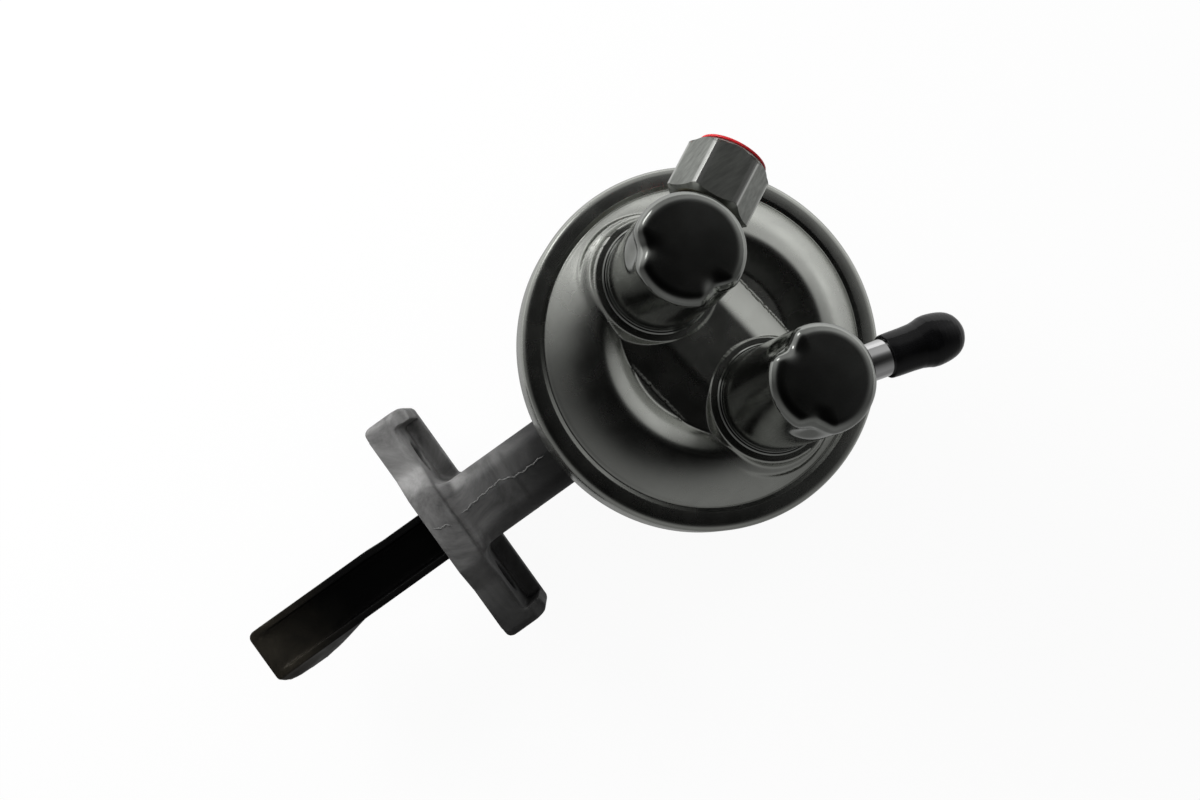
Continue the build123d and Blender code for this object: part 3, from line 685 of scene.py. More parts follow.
@dataclass
class PumpCover:
    """Drawn steel cover: rolled rim, ridge, dish and the crowned bridge pad."""

    sheet: float = 1.2
    rim_r: float = 44.2
    rim_depth: float = 9.4
    rim_shoulder: float = 1.9
    lip_r: float = 39.0
    ridge_foot_r: float = 38.3
    ridge_height: float = 7.0
    ridge_power: float = 1.6
    crest_r: float = 25.6
    crest_inset: float = 0.4
    crest_blend: float = 2.4
    dish_blend: float = 0.2
    dish_r: float = 19.5
    dish_height: float = 3.1
    pad_height: float = 7.5
    pad_half_width: float = 16.9
    pad_shift: float = 0.7
    pad_flat: float = 7.4
    pad_bend: float = 5.5
    pad_fall_deg: float = 25.0
    pad_edge_slope: float = 5.0
    pad_blend: float = 0.2
    pad_blend_rise: float = 2.2
    pad_blend_reach: float = 3.0
    foot_fade: float = 2.0
    ring_r: float = 14.9
    ring_height: float = 8.0
    ring_inset: float = 0.15
    ring_slope: float = 3.5
    ring_round: float = 0.5
    ring_blend: float = 0.25
    radial_span: float = 0.34
    segments: int = 448
    skin_mark: float = 50.0

    def ridge(self, r: float) -> float:
        """Height of the ridge and dish.

        Args:
            r: Distance from the canister's axis.

        Returns:
            The height over the rim's top.
        """
        t = max(r - self.crest_r, 0.0) / (self.ridge_foot_r - self.crest_r)
        outer = self.ridge_height * (1.0 - t ** self.ridge_power)
        rise = (self.ridge_height - self.dish_height) / (self.crest_r - self.crest_inset - self.dish_r)
        inner = self.dish_height + (r - self.dish_r) * rise
        floor = self.dish_height if r < self.crest_r else 0.0
        return smooth_max(smooth_min(outer, inner, self.crest_blend), floor, self.dish_blend)

    def pad(self, along: float, across: float) -> float:
        """Height of the bridge pad.

        Args:
            along: Place along the cup line.
            across: Place across it.

        Returns:
            The height over the rim's top.
        """
        beyond = max(abs(along) - LAYOUT.cup_offset, 0.0)
        reach = math.hypot(beyond, across - self.pad_shift)
        fall = math.radians(self.pad_fall_deg)
        over = max(reach - self.pad_flat, 0.0)
        bent = min(over, self.pad_bend * math.sin(fall))
        drop = self.pad_bend - math.sqrt(self.pad_bend ** 2 - bent ** 2) + (over - bent) * math.tan(fall)
        return self.pad_height - drop - self.pad_edge_slope * max(reach - self.pad_half_width, 0.0)

    def ring(self, along: float, across: float) -> float:
        """Height of the raised rings that the cups stand on.

        Args:
            along: Place along the cup line.
            across: Place across it.

        Returns:
            The height over the rim's top.
        """
        reach = min(math.hypot(along - sign * LAYOUT.cup_offset, across) for sign in (1, -1))
        side = self.ring_height + (self.ring_r - self.ring_inset - reach) * self.ring_slope
        return smooth_min(self.ring_height, side, self.ring_round)

    def height(self, x: float, y: float) -> float:
        """Height of the skin at a place in the rim's plane.

        Args:
            x: Place away from the arm.
            y: Place towards +Y.

        Returns:
            The height over the rim's top.
        """
        turn = math.radians(LAYOUT.cup_angle_deg)
        along = x * math.cos(turn) + y * math.sin(turn)
        across = -x * math.sin(turn) + y * math.cos(turn)
        r = math.hypot(x, y)
        outward = smooth_step(self.dish_r, self.crest_r + self.pad_blend_reach, r)
        blend = self.pad_blend + self.pad_blend_rise * outward
        drawn = smooth_max(self.ridge(r), self.pad(along, across), blend)
        fade_r = self.ridge_foot_r - self.foot_fade
        edge = smooth_step(self.ridge_foot_r, fade_r, r) if r > fade_r else 1.0
        skin = drawn * edge + self.ridge(r) * (1.0 - edge)
        return smooth_max(skin, self.ring(along, across), self.ring_blend)

    def rim_profile(self) -> list[Point]:
        """Outline from the ridge's foot round the rim to the end of the lip.

        Returns:
            Points as (radius, height).
        """
        inner_wall = self.rim_r - self.sheet
        under_lip = self.sheet - self.rim_depth
        corners = (
            (self.ridge_foot_r + 0.1, -0.05, 0.0),
            (self.ridge_foot_r + 0.45, -0.4, 0.3),
            (self.ridge_foot_r + 1.5, 0.0, 0.6),
            (self.rim_r, 0.0, self.rim_shoulder),
            (self.rim_r, -self.rim_depth, 0.7),
            (self.lip_r, -self.rim_depth, 0.3),
            (self.lip_r, under_lip, 0.3),
            (inner_wall, under_lip, 0.2),
            (inner_wall, -self.sheet, 0.2),
            (self.ridge_foot_r, -self.sheet, 0.0),
        )
        return rounded(corners, 4)

    def build(self, steel: bpy.types.Material) -> bpy.types.Object:
        """Makes the cover, whose skins are spun at a mark and then moved to their heights.

        Args:
            steel: Finish of the pressing.

        Returns:
            The cover's object.
        """
        count = math.ceil(self.ridge_foot_r / self.radial_span)
        rings = [(self.ridge_foot_r * k / count, self.skin_mark) for k in range(count + 1)]
        inner_count = count // 5
        under = [(self.ridge_foot_r * k / inner_count, -self.skin_mark) for k in range(inner_count, -1, -1)]
        bm = spun(rings + self.rim_profile() + under[1:], self.segments)
        for vert in bm.verts:
            if abs(vert.co.z) > self.skin_mark - 10.0:
                drop = self.sheet if vert.co.z < 0.0 else 0.0
                vert.co.z = self.height(vert.co.x, vert.co.y) - drop
        place = LAYOUT.stand(LAYOUT.rim_centre, LAYOUT.away, LAYOUT.up)
        return finished(bm, "cover_pressing", place, steel, Body.PUMP, ("cover",), 60.0)


# Cups


@dataclass
class ValveCup:
    """Drawn steel cup with a rolled foot and two pinched notches."""

    name: str
    node: str
    sign: int
    fitting_deg: float
    height: float
    draft: float = 0.0
    radius: float = 12.5
    wall: float = 1.3
    shoulder: float = 2.6
    crown: float = 0.2
    lip_r: float = 13.3
    lip_height: float = 1.1
    pinch_depth: float = 1.5
    pinch_reach: float = 10.0
    pinch_width: float = 5.2
    pinch_sink: float = 0.7
    pinch_full: float = 1.0
    pinch_core: float = 0.45
    notches_deg: Point = (120.0, 240.0)
    crown_reach: float = 6.0
    segments: int = 224

    def profile(self) -> list[Point]:
        """Outline from the top's centre down to the foot and back up inside.

        Returns:
            Points as (radius, height).
        """
        foot = LAYOUT.ring_top
        top = foot + self.height
        inner = self.radius - self.wall
        outside = rounded(
            (
                (0.0, top, 0.0),
                (self.radius - self.draft, top, self.shoulder),
                (self.radius, foot + self.lip_height, 0.25),
                (self.lip_r - 0.35, foot + self.lip_height, 0.15),
                (self.lip_r, foot + self.lip_height - 0.35, 0.15),
                (self.lip_r, foot, 0.0),
            ),
            6,
        )
        inside = rounded(
            (
                (inner, foot, 0.0),
                (inner - self.draft, top - self.wall, self.shoulder - self.wall),
                (0.0, top - self.wall, 0.0),
            ),
            4,
        )
        return subdivided(outside, 0.5) + subdivided(inside, 4.0)

    def pinch(self, co: Vector) -> Vector:
        """Moves a point of the cup inwards where the tool pinched it.

        Args:
            co: The point in the cup's millimetres.

        Returns:
            The moved point.
        """
        reach = math.hypot(co.x, co.y)
        if reach < 1e-6:
            return co
        top = LAYOUT.ring_top + self.height
        fade = smooth_step(top - self.pinch_reach, top - self.shoulder - self.pinch_full, co.z)
        turn = math.degrees(math.atan2(co.y, co.x))
        push = 0.0
        for notch in self.notches_deg:
            off = (turn - notch + 180.0) % 360.0 - 180.0
            arc = math.radians(abs(off)) * self.radius
            push += math.cos(min(arc / self.pinch_width, 1.0) * math.pi / 2.0) ** 2 * fade
        ease = smooth_step(self.radius * self.pinch_core, self.radius, reach)
        scale = 1.0 - self.pinch_depth * push * ease / reach
        near_top = smooth_step(top - self.crown_reach, top, co.z)
        sink = self.pinch_sink * push * ease + self.crown * (reach / self.radius) ** 2 * near_top
        return Vector((co.x * scale, co.y * scale, co.z - sink))

    def build(self, steel: bpy.types.Material) -> bpy.types.Object:
        """Makes the cup.

        Args:
            steel: Finish of the cup.

        Returns:
            The cup's object.
        """
        bm = spun(self.profile(), self.segments)
        for vert in bm.verts:
            vert.co = self.pinch(vert.co)
        place = LAYOUT.stand(LAYOUT.foot(self.sign), LAYOUT.heading(self.fitting_deg), LAYOUT.up)
        return finished(bm, self.name, place, steel, Body.PUMP, (self.node,), 50.0)


# Fittings


@dataclass
class OutletFitting:
    """Hexagonal fitting on the outlet cup and its red plug."""

    flats: float = 17.5
    start: float = 13.2
    end: float = 26.6
    twist_deg: float = -4.0
    corner_bevel: float = 0.55
    chamfer_r: float = 8.2
    near_chamfer: float = 0.58
    far_chamfer: float = 1.25
    far_ease: float = 0.33
    flat_cuts: int = 24
    ring_levels: tuple[float, ...] = (0.06, 0.5, 0.94, 1.0)
    face_inset: float = 0.4
    highlight_reach: Point = (0.6, 0.3)
    throat_r: float = 2.8
    neck_r: float = 6.0
    braze_r: float = 7.3
    bore_r: float = 5.75
    bore_depth: float = 10.0
    plug_flange_r: float = 8.1
    plug_flange: float = 0.6
    plug_depth: float = 9.0

    @property
    def place(self) -> Matrix:
        """Placement with Z along the fitting's axis and X up the canister."""
        centre = LAYOUT.foot(1) + LAYOUT.up * LAYOUT.outlet_level
        return LAYOUT.stand(centre, LAYOUT.up, LAYOUT.heading(LAYOUT.outlet_angle_deg))

    def hexagon(self, steel: bpy.types.Material) -> bpy.types.Object:
        """Makes the hexagon with turned chamfers and the end faces round its neck and bore.

        Args:
            steel: Finish of the piece.

        Returns:
            The hexagon's object.
        """
        bm = bmesh.new()
        corner_r = self.flats / 2.0 / math.cos(math.pi / 6.0)
        made = bmesh.ops.create_circle(bm, segments=6, radius=corner_r, cap_ends=True)
        twist = Matrix.Rotation(math.radians(self.twist_deg), 3, "Z")
        bmesh.ops.rotate(bm, verts=made["verts"], matrix=twist)
        bmesh.ops.bevel(
            bm, geom=list(bm.verts), offset=self.corner_bevel, segments=3, profile=0.5, affect="VERTICES"
        )
        bmesh.ops.delete(bm, geom=list(bm.faces), context="FACES_ONLY")
        flats = [edge for edge in bm.edges if edge.calc_length() > 2.0]
        bmesh.ops.subdivide_edges(bm, edges=flats, cuts=self.flat_cuts, use_grid_fill=False)
        bmesh.ops.translate(bm, verts=bm.verts, vec=(0, 0, self.start))
        ring = list(bm.edges)
        rings = [list(bm.verts)]
        length = self.end - self.start
        done = 0.0
        for level in self.ring_levels:
            verts, ring = grown_ring(bm, ring)
            bmesh.ops.translate(bm, verts=verts, vec=(0, 0, length * (level - done)))
            rings.append(verts)
            done = level
        slopes = ((rings[0], self.near_chamfer), (rings[-1], -self.far_chamfer), (rings[-2], -self.far_ease))
        for verts, slope in slopes:
            for vert in verts:
                over = max(0.0, math.hypot(vert.co.x, vert.co.y) - self.chamfer_r)
                vert.co.z += slope * over
        for verts, face_z, hole in ((rings[0], self.start, self.neck_r), (rings[-1], self.end, self.bore_r)):
            inside = set(verts)
            edges = [e for e in bm.edges if e.verts[0] in inside and e.verts[1] in inside]
            for radius in (self.chamfer_r - self.face_inset, hole):
                fresh, edges = grown_ring(bm, edges)
                for vert in fresh:
                    reach = math.hypot(vert.co.x, vert.co.y)
                    vert.co.x *= radius / reach
                    vert.co.y *= radius / reach
                    vert.co.z = face_z
        # Marks the corners, where the finish paints its highlight.
        painted_highlight = bm.verts.layers.float.new("painted_highlight")
        low, high = (corner_r - reach for reach in self.highlight_reach)
        for vert in bm.verts:
            vert[painted_highlight] = smooth_step(low, high, math.hypot(vert.co.x, vert.co.y))
        bmesh.ops.recalc_face_normals(bm, faces=bm.faces)
        nodes = ("outlet_hex_fitting",)
        return finished(bm, "outlet_hexagon", self.place, steel, Body.PUMP, nodes, 14.0)

    def tube(self, steel: bpy.types.Material) -> bpy.types.Object:
        """Makes the bore, its seat and the brazed neck that enters the cup.

        Args:
            steel: Finish of the neck.

        Returns:
            The neck's object.
        """
        inner = LAYOUT.cup_inner
        corners = (
            (self.throat_r, inner, 0.0),
            (self.throat_r, self.end - self.bore_depth - 2.0, 0.2),
            (4.2, self.end - self.bore_depth - 0.8, 0.2),
            (self.bore_r, self.end - self.bore_depth, 0.2),
            (self.bore_r, self.end - 0.3, 0.0),
        )
        bm = spun(rounded(corners), 96)
        bead = (
            (self.throat_r, inner, 0.0),
            (self.neck_r, inner, 0.0),
            (self.neck_r, 11.4, 0.2),
            (self.braze_r, 12.2, 0.3),
            (self.braze_r - 0.4, 12.9, 0.3),
            (self.neck_r, self.start, 0.0),
        )
        outside = spun(rounded(bead), 96)
        joined = bpy.data.meshes.new("neck")
        outside.to_mesh(joined)
        outside.free()
        bm.from_mesh(joined)
        bpy.data.meshes.remove(joined)
        bmesh.ops.remove_doubles(bm, verts=bm.verts, dist=1e-4)
        return finished(bm, "outlet_neck", self.place, steel, Body.PUMP)

    def plug(self, plastic: bpy.types.Material) -> bpy.types.Object:
        """Makes the thin flanged shipping plug.

        Args:
            plastic: Finish of the plug.

        Returns:
            The plug's object.
        """
        inner = self.bore_r - 1.5
        corners = (
            (0.0, self.end - self.plug_depth, 0.0),
            (self.bore_r - 0.7, self.end - self.plug_depth, 0.5),
            (self.bore_r - 0.05, self.end - self.plug_depth + 1.2, 0.3),
            (self.bore_r - 0.05, self.end, 0.0),
            (self.plug_flange_r, self.end, 0.2),
            (self.plug_flange_r, self.end + self.plug_flange, 0.2),
            (inner, self.end + self.plug_flange, 0.2),
            (inner, self.end - self.plug_depth + 1.5, 0.5),
            (0.0, self.end - self.plug_depth + 1.5, 0.0),
        )
        bm = spun(rounded(corners), 128)
        return finished(bm, "red_plug", self.place, plastic, Body.PLUG, ("outlet_plug",))


@dataclass
class InletFitting:
    """Plain tube on the inlet cup and its black rubber cap."""

    tube_r: float = 4.3
    bore_r: float = 2.95
    end: float = 34.0
    mouth: float = 20.6
    mouth_r: float = 4.95
    stations: tuple[Point, ...] = (
        (5.06, 22.5), (5.10, 26.0), (5.22, 28.4), (5.55, 30.0), (5.86, 31.0), (5.97, 32.2), (5.92, 33.2),
        (5.80, 34.3), (5.62, 35.3), (5.36, 36.3), (4.98, 37.2), (4.36, 38.1), (3.55, 38.8), (2.45, 39.5),
        (1.25, 40.0), (0.0, 40.2),
    )

    @property
    def place(self) -> Matrix:
        """Placement with Z along the tube and X up the canister."""
        centre = LAYOUT.foot(-1) + LAYOUT.up * LAYOUT.inlet_level
        return LAYOUT.stand(centre, LAYOUT.up, LAYOUT.heading(LAYOUT.inlet_angle_deg))

    def tube(self, steel: bpy.types.Material) -> bpy.types.Object:
        """Makes the tube.

        Args:
            steel: Finish of the tube.

        Returns:
            The tube's object.
        """
        corners = (
            (self.bore_r, LAYOUT.cup_inner, 0.0),
            (self.tube_r, LAYOUT.cup_inner, 0.0),
            (self.tube_r, self.end, 0.3),
            (self.bore_r, self.end, 0.3),
            (self.bore_r, LAYOUT.cup_inner, 0.0),
        )
        bm = spun(rounded(corners), 96)
        return finished(bm, "inlet_tube", self.place, steel, Body.PUMP, ("inlet_nipple",))

    def cap(self, rubber: bpy.types.Material) -> bpy.types.Object:
        """Makes the cap with its bulged end.

        Args:
            rubber: Finish of the cap.

        Returns:
            The cap's object.
        """
        bore = self.tube_r + 0.02
        inside = ((0.0, self.end + 0.3, 0.0), (bore, self.end + 0.3, 0.0))
        lip = ((bore, self.mouth, 0.0), (self.mouth_r, self.mouth, 0.3), (*self.stations[0], 0.0))
        soft = [(r, h, 1.2) for r, h in self.stations[1:-1]]
        bm = spun(rounded(inside + lip + tuple(soft) + ((*self.stations[-1], 0.0),), 3), 128)
        return finished(bm, "rubber_cap", self.place, rubber, Body.CAP, ("nipple_cap",))


# Body casting and lever parts


def softened(
    name: str, node: str, voxel_mm: float, rounds: int, material: bpy.types.Material
) -> bpy.types.Object:
    """Turns a merged copy of a CAD node into one even skin with softened edges.

    Args:
        name: Name of the new piece.
        node: Name of the CAD node.
        voxel_mm: Size of the remesh cells.
        rounds: Number of smoothing rounds.
        material: Finish of the piece.

    Returns:
        The new object, in the frame's metres.
    """
    source = frame["nodes"][node]
    bm = bmesh.new()
    bm.from_mesh(source.data)
    bmesh.ops.transform(bm, matrix=source.matrix_world, verts=bm.verts)
    bmesh.ops.remove_doubles(bm, verts=bm.verts, dist=1e-6)
    old = bpy.data.meshes.new(name)
    bm.to_mesh(old)
    bm.free()
    piece = bpy.data.objects.new(name, old)
    bpy.context.scene.collection.objects.link(piece)
    remesh = piece.modifiers.new("remesh", "REMESH")
    remesh.mode = "VOXEL"
    remesh.voxel_size = voxel_mm * MM
    remesh.use_smooth_shade = True
    soften = piece.modifiers.new("soften", "SMOOTH")
    soften.factor = 0.5
    soften.iterations = rounds
    made = bpy.data.meshes.new_from_object(piece.evaluated_get(bpy.context.evaluated_depsgraph_get()))
    piece.modifiers.clear()
    piece.data = made
    bpy.data.meshes.remove(old)
    made.name = name
    made.shade_smooth()
    made.materials.append(material)
    return piece


@dataclass
class CastBody:
    """Die-cast body: flange, hollow neck, bowl and link chamber."""

    voxel_mm: float = 0.5
    rounds: int = 2
    step_x: float = 25.2
    step_mm: float = 0.45
    step_ease: float = 0.4
    draft: float = 0.15
    draft_over: Point = (8.5, 11.0)
    end_over: Point = (50.0, 44.0)
    roof_over: Point = (6.0, 11.0)
    joint_y: float = 1.2
    ear_x: float = 5.9
    ear_y: float = 31.9
    ear_corner: float = 3.0
    front_push: float = 0.11
    back_push: float = 0.16
    hub_x: float = 8.5
    hub_y: float = 27.0
    hub_inner_y: float = 9.0
    hub_inner_z: float = 8.0
    hub_face: float = 0.4
    hub_rounds: int = 14

    def squared(self, co: Vector) -> Vector:
        """Pulls the ears' round corners out to the tighter ones of the casting.

        Args:
            co: The point in millimetres.

        Returns:
            The moved point.
        """
        across = abs(co.x - self.ear_x) - self.ear_x + self.ear_corner
        beyond = abs(co.y) - self.ear_y + self.ear_corner
        if across <= 0.0 or beyond <= 0.0 or co.x > 2.0 * self.ear_x + 0.5:
            return co
        reach = self.back_push if co.x > self.ear_x else self.front_push
        push = reach * math.sin(2.0 * math.atan2(beyond, across)) ** 2
        x = co.x + math.copysign(across * push, co.x - self.ear_x)
        return Vector((x, co.y + math.copysign(beyond * push, co.y), co.z))

    def soften_hub(self, mesh: bpy.types.Mesh) -> None:
        """Blends the hub's shoulders into the flange's edges.

        Args:
            mesh: The casting's mesh, in metres.
        """
        bm = bmesh.new()
        bm.from_mesh(mesh)
        hub = []
        for vert in bm.verts:
            x, y, z = vert.co / MM
            beside = self.hub_inner_y < abs(y) < self.hub_y and abs(z) > self.hub_inner_z
            if self.hub_face < x < self.hub_x and beside:
                hub.append(vert)
        axes = {"use_axis_x": False, "use_axis_y": True, "use_axis_z": True}
        for _ in range(self.hub_rounds):
            bmesh.ops.smooth_vert(bm, verts=hub, factor=0.5, **axes)
        bm.to_mesh(mesh)
        bm.free()

    def drop(self, x: float, y: float, z: float) -> float:
        """How far the mould's step and draft lower the neck's roof.

        Args:
            x: Place along the neck, in millimetres.
            y: Place across it.
            z: Its height.

        Returns:
            The distance in millimetres.
        """
        step = self.step_mm * smooth_step(self.step_x - self.step_ease, self.step_x + self.step_ease, x)
        draft = self.draft * abs(y - self.joint_y) * smooth_step(*self.draft_over, x)
        return (step + draft) * smooth_step(*self.end_over, x) * smooth_step(*self.roof_over, z)

    def build(self, metal: bpy.types.Material) -> bpy.types.Object:
        """Makes the softened casting.

        Args:
            metal: Finish of the casting.

        Returns:
            The casting's object.
        """
        piece = softened("body_casting", "lower_body", self.voxel_mm, self.rounds, metal)
        for vert in piece.data.vertices:
            vert.co.z -= self.drop(*(vert.co / MM)) * MM
            vert.co = self.squared(vert.co / MM) * MM
        self.soften_hub(piece.data)
        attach(piece, Body.PUMP.value)
        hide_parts("lower_body")
        return piece


@dataclass
class FlashLine:
    """Thin raised seam that a mould joint left on the casting."""

    name: str
    path: tuple[Point, ...]
    stray_mm: Point = (0.16, 0.08)
    stray_pace: Point = (0.9, 2.3)
    radius: float = 0.26
    swell_pace: float = 1.9
    flatness: float = 0.7
    probe_from: float = 40.0
    span: float = 0.45
    sides: int = 8

    def build(self, skin: bpy.types.Object, metal: bpy.types.Material) -> bpy.types.Object:
        """Makes the seam.

        Args:
            skin: Casting that the seam lies on.
            metal: Finish of the seam.

        Returns:
            The seam's object.
        """
        probe = bmesh.new()
        probe.from_mesh(skin.data)
        tree = BVHTree.FromBMesh(probe)
        probe.free()
        points = []
        for k, (x, y) in enumerate(subdivided(self.path, self.span)):
            stray = sum(size * math.sin(k * pace) for size, pace in zip(self.stray_mm, self.stray_pace))
            hit = tree.ray_cast(Vector((x, y + stray, self.probe_from)) * MM, Vector((0.0, 0.0, -1.0)))[0]
            points.append(hit / MM)
        last = len(points) - 1
        spindle = [(0.0, 0.0)] + [(1.0, float(k)) for k in range(1, last)] + [(0.0, float(last))]
        bm = spun(spindle, self.sides)
        for vert in bm.verts:
            k = round(vert.co.z)
            along = (points[min(k + 1, last)] - points[max(k - 1, 0)]).normalized()
            side = Vector((-along.y, along.x, 0.0))
            swell = 0.75 + 0.25 * math.sin(k * self.swell_pace)
            size = self.radius * swell * smooth_step(-1.0, 4.0, min(k, last - k))
            vert.co = points[k] + (side * vert.co.x + Vector((0.0, 0.0, self.flatness)) * vert.co.y) * size
        bmesh.ops.recalc_face_normals(bm, faces=bm.faces)
        return finished(bm, self.name, Matrix.Scale(MM, 4), metal, Body.PUMP, smooth_deg=70.0)


SEAMS = (
    FlashLine(
        "neck_seam",
        (
            (8.6, 0.7), (12.4, 1.3), (16.6, 1.7), (19.0, 1.9), (21.5, 2.1),
            (23.4, 1.3), (25.1, 0.7), (27.1, 0.5), (34.0, 0.8),
        ),
    ),
    FlashLine("flange_seam", ((0.9, 1.7), (2.6, 1.1), (4.3, 0.7), (5.8, -0.3))),
)


@dataclass
class PressedArm:
    """Pressed rocker arm with rolled edges."""

    voxel_mm: float = 0.4
    rounds: int = 2
    stretch: float = 2.05
    stretch_from: float = 34.0
    tip: float = 53.4
    widen_top: float = 0.33
    free_from: float = 13.0
    free_to: float = 20.0
    edge_y: float = 4.0
    low_over: Point = (4.0, -3.0)
    stretch_past: float = 4.0
    flare: tuple[Point, ...] = (
        (28.0, 0.0), (33.0, 0.25), (38.0, 0.45), (42.0, 0.6), (44.0, 0.95), (50.0, 1.3), (53.4, 1.5)
    )

    def flared(self, reach: float) -> float:
        """How far the tread's edge is pressed out.

        Args:
            reach: Distance from the flange.

        Returns:
            The distance in millimetres.
        """
        for (r0, f0), (r1, f1) in zip(self.flare, self.flare[1:]):
            if reach < r1:
                return f0 + (f1 - f0) * max(0.0, reach - r0) / (r1 - r0)
        return self.flare[-1][1]

    def shaped(self, co: Vector) -> Vector:
        """Moves a point of the arm to the pressed outline.

        Args:
            co: The point in millimetres.

        Returns:
            The moved point.
        """
        reach = -co.x
        if reach < self.free_from:
            return co
        free = smooth_step(self.free_from, self.free_to, reach)
        side = max(-1.0, min(1.0, co.y / self.edge_y))
        low = smooth_step(*self.low_over, co.z)
        out = self.widen_top * free * max(side, 0.0) + self.flared(reach) * low * min(side, 0.0)
        end = self.tip + self.stretch_past
        share = smooth_step(self.stretch_from, end, reach) / smooth_step(self.stretch_from, end, self.tip)
        return Vector((co.x - self.stretch * share, co.y + out, co.z))

    def build(self, steel: bpy.types.Material) -> bpy.types.Object:
        """Makes the softened arm.

        Args:
            steel: Finish of the arm.

        Returns:
            The arm's object.
        """
        piece = softened("rocker_lever", "rocker_arm", self.voxel_mm, self.rounds, steel)
        for vert in piece.data.vertices:
            vert.co = self.shaped(vert.co / MM) * MM
        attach(piece, Body.ARM.value)
        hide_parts("rocker_arm")
        return piece


# Finishes of this pump


@dataclass(frozen=True)
class OuterFinishes:
    """Finishes of the pieces that are made here."""

    cover: PlatedSteel = PlatedSteel("cover_zinc", (0.66, 0.675, 0.63), (0.55, 0.56, 0.525), 0.22, 0.30)
    cup: PlatedSteel = PlatedSteel(
        "cup_zinc", (0.46, 0.47, 0.45), (0.30, 0.31, 0.29), 0.11, 0.20, wave_depth_mm=0.13
    )
    hexagon: TurnedHexSteel = TurnedHexSteel()
    braze: PlatedSteel = PlatedSteel("braze_alloy", (0.55, 0.47, 0.28), (0.20, 0.18, 0.13), 0.30, 0.5, 220.0)
    tube: PlatedSteel = PlatedSteel("tube_zinc", (0.86, 0.86, 0.86), (0.78, 0.78, 0.78), 0.07, 0.12)
    cap: MouldedSkin = MouldedSkin("cap_rubber", (0.002, 0.002, 0.0023), 0.10, shine=0.3)
    plug: MouldedSkin = MouldedSkin("plug_plastic", (0.42, 0.012, 0.016), 0.38)
    casting: CastAluminium = CastAluminium()
    seam: CastAluminium = CastAluminium(
        "seam_aluminium", (0.26, 0.26, 0.255), (0.13, 0.13, 0.128), (0.26, 0.26, 0.255), (0.13, 0.13, 0.128)
    )
    arm: BlackSteel = BlackSteel()


@dataclass(frozen=True)
class InnerFinishes:
    """Finishes of the CAD pieces that keep their own mesh."""

    pin: PlatedSteel = PlatedSteel("ground_steel", (0.60, 0.60, 0.59), (0.46, 0.46, 0.45), 0.22, 0.34)
    spring: PlatedSteel = PlatedSteel("spring_wire", (0.42, 0.42, 0.41), (0.28, 0.28, 0.28), 0.28, 0.42)
    plate: PlatedSteel = PlatedSteel("zinc_plate", (0.62, 0.60, 0.52), (0.46, 0.45, 0.38), 0.30, 0.46)
    cloth: MouldedSkin = MouldedSkin("diaphragm_cloth", (0.035, 0.035, 0.035), 0.72, depth_mm=0.05)
    seal: MouldedSkin = MouldedSkin("seal_rubber", (0.025, 0.025, 0.025), 0.55)
    brass: PlatedSteel = PlatedSteel("valve_brass", (0.74, 0.55, 0.26), (0.55, 0.40, 0.18), 0.26, 0.40)

    def materials(self) -> dict[str, bpy.types.Material]:
        """Makes one material for each slot.

        Returns:
            The materials by the name of their slot.
        """
        return {
            "pin_steel": self.pin.build(),
            "spring_steel": self.spring.build(),
            "plate_steel": self.plate.build(),
            "diaphragm_fabric": self.cloth.build(),
            "seal_rubber": self.seal.build(),
            "valve_brass": self.brass.build(),
        }

    def dress(self) -> int:
        """Gives each kept CAD node its finish.

        Returns:
            How many nodes were dressed.
        """
        made = self.materials()
        slot_of = {part["node"]: part["material_slot"] for part in frame["record"]["subparts"]}
        count = 0
        for node, piece in frame["nodes"].items():
            material = made.get(slot_of.get(node, ""))
            if material is None:
                continue
            for place in piece.material_slots:
                place.material = material
            count += 1
        return count


# Studio


@dataclass(frozen=True)
class SoftBox:
    """One soft area lamp that faces the pump; places and sizes in metres."""

    name: str
    at: Point3
    size: Point
    watts: float
    in_mirrors: bool = False
    aim: Point3 = (0.06, 0.0, 0.02)

    def build(self) -> None:
        """Hangs the lamp."""
        lamp = bpy.data.lights.new(self.name, "AREA")
        lamp.shape = "RECTANGLE"
        lamp.size, lamp.size_y = self.size
        lamp.energy = self.watts
        holder = bpy.data.objects.new(self.name, lamp)
        bpy.context.scene.collection.objects.link(holder)
        holder.visible_glossy = self.in_mirrors
        way = Vector(self.aim) - Vector(self.at)
        holder.matrix_world = Matrix.Translation(self.at) @ way.to_track_quat("-Z", "Y").to_matrix().to_4x4()


